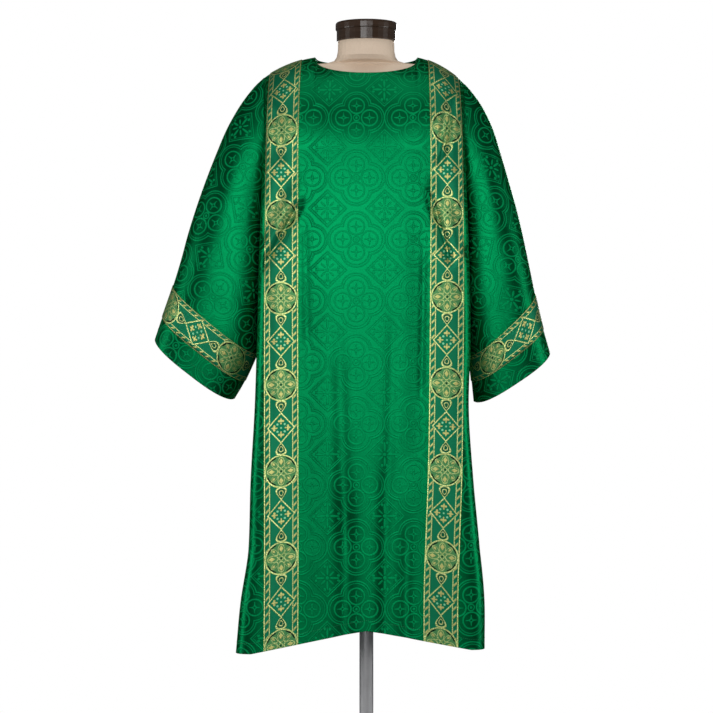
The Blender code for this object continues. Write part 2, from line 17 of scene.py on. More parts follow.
import bpy
import numpy as np
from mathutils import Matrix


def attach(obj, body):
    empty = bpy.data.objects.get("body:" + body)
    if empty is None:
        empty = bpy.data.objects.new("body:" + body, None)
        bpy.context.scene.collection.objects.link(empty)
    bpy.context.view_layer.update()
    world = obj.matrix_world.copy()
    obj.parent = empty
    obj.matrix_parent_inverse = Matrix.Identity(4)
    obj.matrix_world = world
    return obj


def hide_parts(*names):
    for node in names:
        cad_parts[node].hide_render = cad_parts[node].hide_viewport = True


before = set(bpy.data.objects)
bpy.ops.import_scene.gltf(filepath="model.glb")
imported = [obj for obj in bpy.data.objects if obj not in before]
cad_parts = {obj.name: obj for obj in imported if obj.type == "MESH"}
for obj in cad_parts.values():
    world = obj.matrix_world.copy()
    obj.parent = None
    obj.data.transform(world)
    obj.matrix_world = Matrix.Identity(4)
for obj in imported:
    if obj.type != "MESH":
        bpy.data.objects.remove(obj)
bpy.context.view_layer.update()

Array = np.ndarray
log = logging.getLogger("dalmatic")


class Part(Enum):
    """Part of the garment, with the way that it lies along its axis."""

    @property
    def word(self) -> str:
        """The part's name in small letters."""
        return self.name.lower()


class Face(Part):
    """The two halves of the body, with the way each one faces along Y."""

    FRONT = -1.0
    BACK = 1.0


class Side(Part):
    """The two sides of the garment, with the way each one lies along X."""

    LEFT = -1.0
    RIGHT = 1.0


# ---------------------------------------------------------------- curves and grids


def smooth_step(x: Array | float) -> Array:
    """0 below 0, 1 above 1, and between them x * x * (3 - 2 * x).

    Args:
        x: places to read the curve at.

    Returns:
        The curve's values.
    """
    x = np.clip(x, 0.0, 1.0)
    return x * x * (3.0 - 2.0 * x)


def smooth_table(position: Array, values: Sequence[float]) -> Array:
    """Cubic curve through a table's entries, whose slope at each is that of its neighbours.

    Args:
        position: places along the table, 0 at its first entry.
        values: the table.

    Returns:
        The curve's value at each place.
    """
    values = np.asarray(values, dtype=float)
    position = np.clip(np.asarray(position, dtype=float), 0.0, len(values) - 1.0)
    index = np.minimum(position.astype(int), len(values) - 2)
    t = position - index
    slope = np.gradient(values)
    start = values[index] * (2 * t**3 - 3 * t**2 + 1) + slope[index] * (t**3 - 2 * t**2 + t)
    return start + values[index + 1] * (3 * t**2 - 2 * t**3) + slope[index + 1] * (t**3 - t**2)


def run_length(points: Array, axis: int) -> Array:
    """Distance along each line of a grid: the running sum of the steps between its points.

    Args:
        points: one line of points, or a grid of them, rows by columns by 3.
        axis: 0 to measure down the columns or along the one line, 1 to measure along the rows.

    Returns:
        The distance from the line's first point, for each point.
    """
    steps = np.linalg.norm(np.diff(points, axis=axis), axis=-1)
    start = np.zeros_like(np.take(steps, [0], axis=axis))
    return np.concatenate([start, np.cumsum(steps, axis=axis)], axis=axis)


def read_along(places: Array, run: Array, values: Array) -> Array:
    """Three columns of values, read at places between the distances that they stand for."""
    return np.stack([np.interp(places, run, column) for column in values.T], axis=-1)


def unit(vectors: Array) -> Array:
    """Vectors divided by their lengths."""
    return vectors / np.maximum(np.linalg.norm(vectors, axis=-1, keepdims=True), 1e-12)


def grid_normals(points: Array, closed: bool) -> Array:
    """Unit direction across each point of a grid: the cross product of its two slopes.

    Args:
        points: grid of points, rows by columns by 3.
        closed: whether the last column runs on into the first.

    Returns:
        One direction for each point.
    """
    if closed:
        across = np.roll(points, -1, axis=1) - np.roll(points, 1, axis=1)
    else:
        across = np.gradient(points, axis=1)
    return unit(np.cross(across, np.gradient(points, axis=0)))


def cloth_object(
    name: str, points: Array, uv: Array, flipped: bool, wall: float, materials: Sequence[Any]
) -> Any:
    """Sheet of cloth on a grid of points, with its wall inwards and its UV map in metres.

    Face (r, c) joins the points (r, c), (r + 1, c), (r + 1, c + 1) and (r, c + 1).

    Args:
        name: name of the object.
        points: its outer side, rows by columns by 3.
        uv: rows by columns by 2, with one column more than the points where the last column
            runs on into the first.
        flipped: whether the faces are turned over.
        wall: its thickness.
        materials: its finish, and the inner side's where that has another.

    Returns:
        The new object, in the scene.
    """
    rows, columns = points.shape[:2]
    r, c = np.meshgrid(np.arange(rows - 1), np.arange(uv.shape[1] - 1), indexing="ij")
    r, c = r.ravel(), c.ravel()
    n = (c + 1) % columns
    above, below = r * columns, (r + 1) * columns
    faces = np.stack([above + c, below + c, below + n, above + n], axis=1)
    corners = np.stack([uv[r, c], uv[r + 1, c], uv[r + 1, c + 1], uv[r, c + 1]], axis=1)
    if flipped:
        faces, corners = faces[:, ::-1], corners[:, ::-1]
    mesh = bpy.data.meshes.new(name)
    mesh.from_pydata(points.reshape(-1, 3), [], faces.tolist())
    layer = mesh.uv_layers.new(name="cloth")
    layer.data.foreach_set("uv", corners.reshape(-1).astype(np.float32))
    piece = place(name, mesh, materials)
    shell = piece.modifiers.new("wall", "SOLIDIFY")
    shell.thickness = wall
    shell.offset = -1.0
    shell.use_quality_normals = True
    shell.material_offset = len(materials) - 1
    shell.material_offset_rim = 0
    return piece


def place(name: str, mesh: Any, materials: Sequence[Any]) -> Any:
    """Object for a mesh, smooth shaded, at the origin, riding on the garment's one body.

    Args:
        name: name of the object.
        mesh: its mesh.
        materials: its finishes.

    Returns:
        The new object, in the scene.
    """
    for material in materials:
        mesh.materials.append(material)
    mesh.polygons.foreach_set("use_smooth", np.ones(len(mesh.polygons), dtype=bool))
    mesh.update()
    piece = bpy.data.objects.new(name, mesh)
    bpy.context.scene.collection.objects.link(piece)
    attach(piece, "root")
    return piece


# ---------------------------------------------------------------- shader arithmetic


class Graph:
    """Node tree of a material or a world, with one method that adds any node."""

    def __init__(self, name: str, store: Any = None) -> None:
        """Start a material, or a thing of another store's kind, with an empty tree.

        Args:
            name: its name.
            store: where it is made, or None for a material.
        """
        self.owner = (bpy.data.materials if store is None else store).new(name)
        self.owner.use_nodes = True
        self.tree = self.owner.node_tree
        self.tree.nodes.clear()

    def node(self, kind: str, settings: dict[str, Any] | None = None, **sockets: Any) -> Any:
        """Add a node.

        Args:
            kind: the node's type.
            settings: the node's own settings, set before its sockets.
            sockets: values or links by socket name, with _ for a space, or by i0, i1 and so on.

        Returns:
            The node.
        """
        made = self.tree.nodes.new(kind)
        for key, value in (settings or {}).items():
            setattr(made, key, value)
        for key, value in sockets.items():
            numbered = key[0] == "i" and key[1:].isdigit()
            self.feed(made.inputs[int(key[1:]) if numbered else key.replace("_", " ")], value)
        return made

    def feed(self, socket: Any, value: Any) -> None:
        """Link or write something into a socket.

        Args:
            socket: the node's socket.
            value: a Value, another socket, or a plain number or colour.
        """
        if isinstance(value, Value):
            self.tree.links.new(value.socket, socket)
        elif isinstance(value, bpy.types.NodeSocket):
            self.tree.links.new(value, socket)
        else:
            socket.default_value = value

    def math(self, operation: str, *terms: Any, clamp: bool = False) -> "Value":
        """Add a Math node.

        Args:
            operation: the node's operation.
            terms: its numbers or Values.
            clamp: whether the result is held between 0 and 1.

        Returns:
            The result.
        """
        sockets = {f"i{i}": term for i, term in enumerate(terms)}
        made = self.node("ShaderNodeMath", {"operation": operation, "use_clamp": clamp}, **sockets)
        return Value(self, made.outputs[0])

    def mix(self, share: Any, low: Any, high: Any) -> Any:
        """Colour between two colours.

        Args:
            share: 0 for the first colour, 1 for the second.
            low: the first colour.
            high: the second colour.

        Returns:
            The output socket.
        """
        made = self.node("ShaderNodeMix", {"data_type": "RGBA"}, i0=share, i6=low, i7=high)
        return made.outputs[2]

    def split(self, vector: Any) -> list["Value"]:
        """The three parts of a vector."""
        parts = self.node("ShaderNodeSeparateXYZ", i0=vector).outputs
        return [Value(self, part) for part in parts]

    def cloth_map(self) -> list["Value"]:
        """Distances across and along the cloth, from the piece's own UV map."""
        return self.split(self.node("ShaderNodeUVMap", {"uv_map": "cloth"}).outputs[0])[:2]

    def own_place(self) -> Any:
        """Vector of the object's own coordinates."""
        return self.node("ShaderNodeTexCoord").outputs["Object"]

    def noise(self, scale: float, detail: float, spot: Any = None) -> "Value":
        """Even noise from 0 to 1.

        Args:
            scale: its frequency, in waves to a unit of the place.
            detail: how many finer layers it has.
            spot: the place where it is read, or None for the object's own coordinates.

        Returns:
            The noise.
        """
        spot = self.own_place() if spot is None else spot
        made = self.node("ShaderNodeTexNoise", i0=spot, Scale=scale, Detail=detail)
        return Value(self, made.outputs[0])

    def streaks(self, detail: float, parts: Sequence["Value"], waves: Sequence[float]) -> "Value":
        """Noise from 0 to 1 that is drawn out along some of its axes.

        Args:
            detail: how many finer layers it has.
            parts: the place where it is read, as two or three distances.
            waves: how many waves a unit of each distance holds.

        Returns:
            The noise.
        """
        sockets = {f"i{i}": part * count for i, (part, count) in enumerate(zip(parts, waves))}
        return self.noise(1.0, detail, self.node("ShaderNodeCombineXYZ", **sockets).outputs[0])

    def bump(self, height: "Value", distance: float) -> Any:
        """Direction bent by a height map whose 0 to 1 stands for the given distance."""
        return self.node("ShaderNodeBump", Height=height, Distance=distance, Strength=1.0).outputs[0]

    def finish(self, **sockets: Any) -> Any:
        """Close the material with a Principled shader.

        Args:
            sockets: values or links of the shader, by socket name with _ for a space.

        Returns:
            The material.
        """
        shader = self.node("ShaderNodeBsdfPrincipled", **sockets)
        self.node("ShaderNodeOutputMaterial", i0=shader.outputs[0])
        return self.owner


def joining(operation: str, turned: bool = False) -> Callable[["Value", Any], "Value"]:
    """Method of Value that joins it to another term by a Math node.

    Args:
        operation: the node's operation.
        turned: whether the other term comes first.

    Returns:
        The method.
    """

    def join(self: "Value", other: Any) -> "Value":
        """The two terms, joined."""
        return self.graph.math(operation, *((other, self) if turned else (self, other)))

    return join


class Value:
    """One number that changes over a surface, with arithmetic that adds Math nodes."""

    __add__ = __radd__ = joining("ADD")
    __sub__ = joining("SUBTRACT")
    __rsub__ = joining("SUBTRACT", turned=True)
    __mul__ = __rmul__ = joining("MULTIPLY")
    __pow__ = joining("POWER")
    least = joining("MINIMUM")
    most = joining("MAXIMUM")

    def __init__(self, graph: Graph, socket: Any) -> None:
        """Wrap a socket of a graph."""
        self.graph = graph
        self.socket = socket

    def __truediv__(self, other: Any) -> "Value":
        """Quotient, by way of the inverse where the other is a plain number."""
        if isinstance(other, Value):
            return self.graph.math("DIVIDE", self, other)
        return self * (1 / other)

    def __abs__(self) -> "Value":
        """Size without its sign."""
        return self.graph.math("ABSOLUTE", self)

    def hypot(self, other: "Value") -> "Value":
        """Length of the slope with these two legs."""
        return (self * self + other * other) ** 0.5

    def wave(self, period: float) -> "Value":
        """Sine of the given period, from -1 to 1."""
        return self.graph.math("SINE", self * (2 * math.pi / period))

    def fold(self, half: float) -> "Value":
        """Distance from the nearest multiple of twice the half, which is 0 to the half."""
        return self.graph.math("PINGPONG", self, half)

    def below(self, edge: float, soft: float) -> "Value":
        """1 below an edge and 0 above it, over a soft width."""
        return self.graph.math("MULTIPLY_ADD", self, -1.0 / soft, edge / soft + 0.5, clamp=True)

    def above(self, edge: float, soft: float) -> "Value":
        """1 above an edge and 0 below it, over a soft width."""
        return self.graph.math("MULTIPLY_ADD", self, 1.0 / soft, 0.5 - edge / soft, clamp=True)

    def line(self, middle: float, width: float, soft: float) -> "Value":
        """1 on a line at one value, 0 away from it."""
        return abs(self - middle).below(width / 2, soft)

    def oval(self, half: Any, other: "Value", other_half: float) -> "Value":
        """hypot(one / its half, other / its half), which is 1 on the outline of an oval."""
        return (self / half).hypot(other / other_half)

    def diamond(self, half: float, other: "Value", other_half: float) -> "Value":
        """One / its half + other / its half, which is 1 on the outline of a diamond."""
        return self / half + other / other_half


# ---------------------------------------------------------------- finishes


Colour = tuple[float, float, float, float]
GALLOON_WIDTH = 0.0715


@dataclass(frozen=True)
class Damask:
    """Green satin with a woven figure of four-ringed roses and leafy diamonds."""

    across: float = 0.1200  # one repeat, rose to rose
    along: float = 0.1290
    rose_at: tuple[float, float] = (-0.022, 0.066)  # a rose's place on the cloth
    lobe_across: float = 0.0280  # from a rose's middle to its side rings
    lobe_along: float = 0.0265
    petal: float = 0.0115  # reach of the petals in a ring
    petal_edge: tuple[float, float] = (7e-6, 5e-6)  # where two distances' product ends them
    pistil: float = 0.0022
    ring: tuple[float, float] = (0.0170, 0.0030)  # radius and width
    outlines: tuple[tuple[float, float], ...] = ((0.0268, 0.0016), (0.0316, 0.0024))
    eye: tuple[float, float] = (0.0065, 0.0022)
    eye_dot: float = 0.0026
    diamond_half: tuple[float, float] = (0.0400, 0.0390)
    diamond_outline: tuple[float, float, float] = (1.0, 0.065, 0.040)  # place, width, softness
    diamond_inline: tuple[float, float, float] = (0.86, 0.035, 0.040)
    slub: tuple[float, float] = (900.0, 260.0)  # waves to a metre, across and along
    cloud: float = 9.0
    ground: Colour = (0.0004, 0.1250, 0.0385, 1.0)
    thread: Colour = (0.0010, 0.3000, 0.0920, 1.0)
    ground_roughness: float = 0.37
    thread_roughness: float = 0.48
    ground_metallic: float = 0.90
    thread_metallic: float = 0.28
    tint: Colour = (0.0, 0.75, 0.30, 1.0)
    relief: float = 0.00025
    soft: float = 0.0012  # width over which an edge of the figure fades
    buckled: tuple[float, float] = (0.110, 0.030)  # where it stands out most, beside the bands

    def rose(self, a: Value, b: Value) -> Value:
        """Four rings, each with a four-petalled flower, inside double outlines.

        The outlines keep an even distance from the nearest ring's middle.

        Args:
            a: distance across from the rose's middle.
            b: distance along from the rose's middle.

        Returns:
            1 on the threads of the figure.
        """
        beside, beyond = abs(a - self.lobe_across), abs(b - self.lobe_along)
        side, end = beside.hypot(b), a.hypot(beyond)
        near, middle = side.least(end), a.hypot(b)
        petals = (beside * b).below(*self.petal_edge) * side.below(self.petal, self.soft)
        others = (beyond * a).below(*self.petal_edge) * end.below(self.petal, self.soft)
        petals = petals.most(others) * near.above(self.pistil, self.soft)
        figure = near.line(*self.ring, self.soft).most(petals)
        for outline in self.outlines:
            figure = figure.most(near.line(*outline, self.soft))
        figure = figure.most(middle.line(*self.eye, self.soft))
        return figure.most(middle.below(self.eye_dot, self.soft))

    def spray(self, p: Value, q: Value) -> Value:
        """Diamond of double straight outlines round a cross of leafy sprays.

        Args:
            p: distance across from the diamond's middle.
            q: distance along from the diamond's middle.

        Returns:
            1 on the threads of the figure.
        """
        half_across, half_along = self.diamond_half
        rim = p.diamond(half_across, q, half_along)
        lean, off = (p + q) * math.sqrt(0.5), abs(p - q) * math.sqrt(0.5)
        leaves = (
            (p - 0.0155).oval(0.0095, q, 0.0022),
            (q - 0.0155).oval(0.0095, p, 0.0022),
            (lean - 0.0125).oval(0.0064, off, 0.0018),
            (p - 0.0235).oval(0.0030, q - 0.0052, 0.0026),
            (q - 0.0235).oval(0.0030, p - 0.0052, 0.0026),
            p.oval(0.0034, q, 0.0034),
        )
        figure = rim.line(*self.diamond_outline).most(rim.line(*self.diamond_inline))
        return figure.most(reduce(Value.least, leaves).below(1.0, 0.30))

    def figure(self, u: Value, v: Value) -> Value:
        """1 on the woven figure: roses on a grid, with diamonds in the places between."""
        a = (u - self.rose_at[0]).fold(self.across / 2)
        b = (v - self.rose_at[1]).fold(self.along / 2)
        return self.rose(a, b).most(self.spray(self.across / 2 - a, self.along / 2 - b))

    def make(self) -> Any:
        """Material of the outer cloth.

        Returns:
            The material.
        """
        graph = Graph("green_damask")
        u, v = graph.cloth_map()
        figure = self.figure(u, v)
        slub = graph.streaks(3.0, (u, v), self.slub)
        cloud = graph.noise(self.cloud, 2.0)
        tone = figure * (slub * 0.70 + 0.50) + (slub - 0.5) * 0.30 + (cloud - 0.5) * 0.25
        colour = graph.mix(tone.most(0.0).least(1.0), self.ground, self.thread)
        rough = figure * (self.thread_roughness - self.ground_roughness) + self.ground_roughness
        height = figure * (abs(u).line(*self.buckled, 0.03) * 1.1 + 0.7) + slub * 0.3
        return graph.finish(
            Base_Color=colour,
            Roughness=rough + (slub - 0.5) * 0.12,
            Metallic=figure * (self.thread_metallic - self.ground_metallic) + self.ground_metallic,
            Specular_IOR_Level=0.20,
            Specular_Tint=self.tint,
            Normal=graph.bump(height, self.relief),
        )


@dataclass(frozen=True)
class Lining:
    """Plain green lining on the inner side of the cloth."""

    dark: Colour = (0.0015, 0.0850, 0.0300, 1.0)
    light: Colour = (0.0020, 0.1250, 0.0460, 1.0)
    tint: Colour = (0.15, 1.0, 0.45, 1.0)
    thread: float = 0.0011  # thread to thread
    cloud: float = 14.0  # waves to a metre
    relief: float = 0.0001

    def make(self) -> Any:
        """Material of the inner side: a plain weave of two crossed waves.

        Returns:
            The material.
        """
        graph = Graph("green_lining")
        u, v = graph.cloth_map()
        weave = u.wave(self.thread) * v.wave(self.thread) * 0.5 + 0.5
        return graph.finish(
            Base_Color=graph.mix(graph.noise(self.cloud, 3.0), self.dark, self.light),
            Roughness=weave * 0.10 + 0.55,
            Specular_Tint=self.tint,
            Normal=graph.bump(weave, self.relief),
        )


@dataclass(frozen=True)
class Galloon:
    """Woven band: medallions and diamonds joined by drops, between two roped borders."""

    half: float = GALLOON_WIDTH / 2
    repeat: float = 0.1812  # medallion to medallion
    soft: float = 0.0009  # width over which an edge of the pattern fades
    edge: float = 0.0019  # width of the border's outer line
    inner_line: tuple[float, float] = (0.0242, 0.0018)  # place and width
    dash_pitch: float = 0.0163
    dash_width: float = 0.0066
    drop_at: float = 0.0462  # from a medallion's middle
    drop_half: tuple[float, float] = (0.0094, 0.0126)
    drop_taper: float = 0.50
    medal: float = 0.0346
    ring: tuple[float, float] = (0.0332, 0.0028)  # radius and width
    arcs: tuple[float, float] = (0.0300, 0.0030)
    arc_gap: tuple[float, float] = (0.0105, 0.002)  # between the arcs, and how softly they end
    eye: tuple[float, float] = (0.0042, 0.0014)
    dot: float = 0.0018
    # from the middle to a leaf, and its half length and half width
    petal: tuple[float, float, float] = (0.0176, 0.0122, 0.0074)
    small_petal: tuple[float, float, float] = (0.0196, 0.0100, 0.0052)
    core: tuple[float, float, float] = (0.0200, 0.0068, 0.0046)
    seed: tuple[float, float, float] = (0.0222, 0.0044, 0.0026)
    trefoil: tuple[float, float, float] = (0.0150, 0.0062, 0.0032)
    trefoil_side: tuple[float, float, float] = (0.0142, 0.0042, 0.0023)  # along, aside, radius
    trefoil_foot: tuple[float, float] = (0.0090, 0.0016)  # along and radius
    diamond_half: tuple[float, float] = (0.0294, 0.0325)
    diamond_outline: tuple[float, float, float] = (0.955, 0.105, 0.04)  # place, width, softness
    mint_at: float = 0.0076
    mint_radius: float = 0.0022
    thread: tuple[float, float] = (1500.0, 1500.0)  # waves to a metre, across and along
    # the painted glints: random spots of painted highlight and painted shade on the gold threads
    glint: tuple[float, float] = (420.0, 420.0)
    twill_pitch: float = 0.0014
    twill_slant: float = 0.6
    green: Colour = (0.0006, 0.1850, 0.0800, 1.0)
    fresh: Colour = (0.0030, 0.2200, 0.0950, 1.0)
    shade: Colour = (0.0010, 0.0220, 0.0080, 1.0)
    rose: Colour = (0.0900, 0.2800, 0.0900, 1.0)
    gold: Colour = (0.5900, 0.6900, 0.2150, 1.0)
    # pale: the painted highlight of the glints
    pale: Colour = (0.9000, 0.9800, 0.4600, 1.0)
    tan: Colour = (0.5800, 0.5600, 0.1900, 1.0)
    # the painted shade of the gold and tan threads between the glints
    glint_shade: Colour = (0.2600, 0.3300, 0.0800, 1.0)
    mint: Colour = (0.2400, 0.6800, 0.3800, 1.0)
    relief: float = 0.00040

    def border(self, u: Value, v: Value) -> tuple[Value, Value]:
        """Borders: an outer and an inner line, with slanted dashes between them.

        Args:
            u: signed distance across from the band's middle.
            v: distance along the band.

        Returns:
            The gold lines, and the tan dashes.
        """
        x = abs(u)
        inner, width = self.inner_line
        lines = x.above(self.half - self.edge, self.soft).most(x.line(inner, width, self.soft))
        dash = (v - u).wave(self.dash_pitch).above(0.60, 0.7)
        return lines, dash * x.line((self.half - width + inner) / 2, self.dash_width, self.soft)

    def drop(self, x: Value, y: Value) -> tuple[Value, Value]:
        """Drop between a medallion and a diamond: an oval that narrows towards the diamond.

        Args:
            x: distance across from the band's middle.
            y: distance along from the medallion's middle.

        Returns:
            Its place, 1 inside it, and its gold threads.
        """
        t = y - self.drop_at
        half_across, half_along = self.drop_half
        rim = x.oval(half_across - t * self.drop_taper, t, half_along)
        return rim.below(0.95, 0.1), rim.line(0.92, 0.24, 0.10).most(rim.line(0.42, 0.14, 0.10))

    def medallion(self, x: Value, y: Value) -> tuple[Value, Value, Value, Value]:
        """Round medallion: a ring with four dark arcs inside it, and a rose of eight petals.

        Args:
            x: distance across from its middle.
            y: distance along from its middle.

        Returns:
            Its place, its dark parts, its gold threads and its tan threads.
        """
        r = x.hypot(y)
        lean, off = (x + y) * math.sqrt(0.5), abs(x - y) * math.sqrt(0.5)
        at, long, wide = self.petal
        petal = x.oval(wide, y - at, long).least((x - at).oval(long, y, wide))
        at, long, wide = self.small_petal
        small = (lean - at).oval(long, off, wide)
        at, long, wide = self.core
        core = x.diamond(wide, abs(y - at), long).least(abs(x - at).diamond(long, y, wide))
        at, long, wide = self.seed
        seed = off.diamond(wide, abs(lean - at), long)
        gold = r.line(*self.ring, self.soft).most(petal.line(0.90, 0.17, 0.12) * 0.75)
        gold = gold.most(small.line(0.86, 0.20, 0.14) * 0.65)
        gold = gold.most(r.line(*self.eye, self.soft) * 0.8)
        dark = r.line(*self.arcs, self.soft) * x.least(y).above(*self.arc_gap)
        dark = dark.most(r.below(self.dot, self.soft))
        tan = core.below(1.0, 0.30).most(seed.below(1.0, 0.35))
        return r.below(self.medal, self.soft), dark, gold, tan

    def cross(self, x: Value, q: Value) -> tuple[Value, Value, Value, Value]:
        """Diamond: a straight outline round a cross of four trefoils and four small dots.

        Args:
            x: distance across from its middle.
            q: distance along from its middle.

        Returns:
            Its place, its gold threads, its tan threads and its mint threads.
        """
        half_across, half_along = self.diamond_half
        rim = x.diamond(half_across, q, half_along)
        tip, long, wide = self.trefoil
        side, aside, side_radius = self.trefoil_side
        foot, foot_radius = self.trefoil_foot
        leaves = []
        for across, along in ((x, q), (q, x)):
            leaves.append(across.diamond(wide, abs(along - tip), long))
            leaves.append((across - aside).hypot(along - side) / side_radius)
            leaves.append(across.hypot(along - foot) / foot_radius)
        flower = reduce(Value.least, leaves).below(1.0, 0.30)
        dots = (x - self.mint_at).hypot(q - self.mint_at).below(self.mint_radius, self.soft)
        dots = dots.most(x.hypot(q).below(self.dot, self.soft))
        return rim.below(1.0, 0.04), rim.line(*self.diamond_outline), flower, dots

    def make(self) -> Any:
        """Material of the woven band.

        Returns:
            The material.
        """
        graph = Graph("gold_galloon")
        u, v = graph.cloth_map()
        x, y = abs(u), v.fold(self.repeat / 2)
        in_medal, dark, medal_gold, medal_tan = self.medallion(x, y)
        in_cross, cross_gold, cross_tan, mint = self.cross(x, self.repeat / 2 - y)
        in_drop, drop_gold = self.drop(x, y)
        lines, dashes = self.border(u, v)
        open_field = 1.0 - in_medal
        outside = (1.0 - in_cross) * open_field
        gold = (lines * outside).most((cross_gold * open_field).most(drop_gold * open_field))
        gold = gold.most(medal_gold * in_medal)
        tan = (medal_tan * in_medal).most(cross_tan * open_field).most(dashes * outside)
        dark = (dark * in_medal).most(in_drop * open_field * 0.5)
        thread = graph.streaks(2.0, (u, v), self.thread)
        twill = (u + v * self.twill_slant).wave(self.twill_pitch) * 0.5 + 0.5
        # painted glints: random spots where the gold is painted pale, as a highlight, or darker, as
        # shade
        glint = graph.streaks(2.0, (u, v), self.glint)
        shaded_share = glint.below(0.42, 0.16)
        lit = graph.mix(glint.above(0.56, 0.16), graph.mix(shaded_share, self.gold, self.glint_shade), self.pale)
        colour = graph.mix(thread * 0.35, self.green, self.fresh)
        colour = graph.mix(in_medal * 0.85, colour, self.rose)
        colour = graph.mix(dark, colour, self.shade)
        colour = graph.mix(mint * open_field, colour, self.mint)
        # the tan threads take part of the same painted shade
        colour = graph.mix(tan, colour, graph.mix(shaded_share * 0.6, self.tan, self.glint_shade))
        colour = graph.mix(gold, colour, lit)
        metal = gold.most(tan * 0.8)
        height = metal * 0.65 + twill * 0.20 + thread * 0.15
        return graph.finish(
            Base_Color=colour,
            Roughness=0.46 - metal * 0.08 + (thread - 0.5) * 0.15,
            Metallic=metal * 0.20 + 0.60,
            Specular_IOR_Level=0.25,
            Normal=graph.bump(height, self.relief),
        )


@dataclass(frozen=True)
class Thread:
    """Sewing thread in the garment's green, twisted."""

    dark: Colour = (0.0015, 0.1600, 0.0560, 1.0)
    light: Colour = (0.0030, 0.2600, 0.1000, 1.0)
    twist: float = 900.0  # waves to a metre

    def make(self) -> Any:
        """Material of the stitches.

        Returns:
            The material.
        """
        graph = Graph("green_thread")
        twist = graph.noise(self.twist, 1.0)
        colour = graph.mix(twist, self.dark, self.light)
        return graph.finish(Base_Color=colour, Roughness=twist * 0.2 + 0.35)


@dataclass(frozen=True)
class Linen:
    """Natural linen cover of the dress form."""

    light: Colour = (0.9600, 0.7900, 0.6300, 1.0)
    dark: Colour = (0.7600, 0.5800, 0.4300, 1.0)
    thread: float = 0.0016  # thread to thread
    radius: float = 0.08  # where the threads that run up have that pitch
    slub: tuple[float, float] = (14.0, 700.0)  # waves to a radian round, and to a metre up
    cloud: float = 11.0  # waves to a metre
    relief: float = 0.00025

    def make(self) -> Any:
        """Material of the form: a plain weave round and along it, with slubs.

        Returns:
            The material.
        """
        graph = Graph("form_linen_weave")
        x, y, z = graph.split(graph.own_place())
        turn = graph.math("ARCTAN2", y, x)
        weave = (turn * self.radius).wave(self.thread) * z.wave(self.thread) * 0.5 + 0.5
        slub = graph.streaks(3.0, (turn, z), self.slub)
        cloud = graph.noise(self.cloud, 2.0)
        tone = weave * 0.35 + slub * 0.45 + cloud * 0.20
        colour = graph.mix(tone, self.dark, self.light)
        return graph.finish(
            Base_Color=colour,
            Roughness=0.95 - slub * 0.15,
            Specular_IOR_Level=0.25,
            Normal=graph.bump(weave * 0.6 + slub * 0.4, self.relief),
        )


@dataclass(frozen=True)
class DarkWood:
    """Dark stained and polished wood."""

    dark: Colour = (0.0170, 0.0080, 0.0038, 1.0)
    light: Colour = (0.0720, 0.0390, 0.0230, 1.0)
    grain: tuple[float, float, float] = (7.0, 9.0, 260.0)  # waves to a metre on x, y and z
    pores: tuple[float, float, float] = (40.0, 40.0, 1100.0)
    coat: float = 0.15
    coat_roughness: float = 0.15
    relief: float = 0.00008

    def make(self) -> Any:
        """Material of the cap and base: grain stretched along one way, under a clear coat.

        Returns:
            The material.
        """
        graph = Graph("dark_wood_polished")
        parts = graph.split(graph.own_place())
        grain = graph.streaks(4.0, parts, self.grain)
        pore = graph.streaks(2.0, parts, self.pores)
        tone = (grain * 0.8 + pore * 0.4 - 0.15).most(0.0).least(1.0)
        return graph.finish(
            Base_Color=graph.mix(tone, self.dark, self.light),
            Roughness=grain * 0.10 + 0.21,
            Specular_IOR_Level=0.45,
            Coat_Weight=self.coat,
            Coat_Roughness=self.coat_roughness,
            Normal=graph.bump(grain * 0.5 + pore * 0.5, self.relief),
        )


@dataclass(frozen=True)
class BrushedSteel:
    """Steel tube, brushed round its girth."""

    dark: Colour = (0.5600, 0.5600, 0.5700, 1.0)
    light: Colour = (0.7000, 0.7000, 0.7100, 1.0)
    lines: tuple[float, float, float] = (20.0, 20.0, 2500.0)  # waves to a metre on x, y and z
    smudges: float = 18.0
    relief: float = 0.00004

    def make(self) -> Any:
        """Material of the pole: fine lines round it and a few smudges.

        Returns:
            The material.
        """
        graph = Graph("pole_steel_brushed")
        line = graph.streaks(3.0, graph.split(graph.own_place()), self.lines)
        smudge = graph.noise(self.smudges, 3.0)
        return graph.finish(
            Base_Color=graph.mix(line, self.dark, self.light),
            Roughness=line * 0.14 + smudge * 0.14 + 0.20,
            Metallic=1.0,
            Normal=graph.bump(line, self.relief),
        )


@dataclass(frozen=True)
class PaleFloor:
    """Plain pale studio floor."""

    dark: Colour = (0.86, 0.86, 0.87, 1.0)
    light: Colour = (0.90, 0.90, 0.91, 1.0)
    cloud: float = 3.0  # waves to a metre

    def make(self) -> Any:
        """Material of the floor, with a faint unevenness.

        Returns:
            The material.
        """
        graph = Graph("pale_floor")
        cloud = graph.noise(self.cloud, 3.0)
        colour = graph.mix(cloud, self.dark, self.light)
        return graph.finish(Base_Color=colour, Roughness=cloud * 0.1 + 0.6)


# ---------------------------------------------------------------- garment


class Finishes(NamedTuple):
    """The materials that the pieces are dressed with."""

    damask: Any
    lining: Any
    galloon: Any
    thread: Any
    linen: Any
    wood: Any
    steel: Any


class Shoulder(NamedTuple):
    """Shoulder line of a side: it drops by slope * d + bend * d * d from the neck corner."""

    slope: float
    bend: float
    band_in: float  # where the upright band's inner and outer edges cross it
    band_out: float
    seam: float  # where it ends, at the sleeve
    hem_lift: float  # how far this side's hem hangs above the lowest


class Half(NamedTuple):
    """Neckline and hem of the front or the back."""

    neck_depth: float  # how far the neckline's middle stands out
    neck_drop: float  # and how far it lies below the neck corners
    hem_rise: float  # height of the hem's arch
    hem_power: float  # power of its curve


class Fold(NamedTuple):
    """Soft ridge, or trough where its height is under 0, from one point of a panel to another."""

    x_top: float
    z_top: float
    x_low: float
    z_low: float
    width: float
    height: float


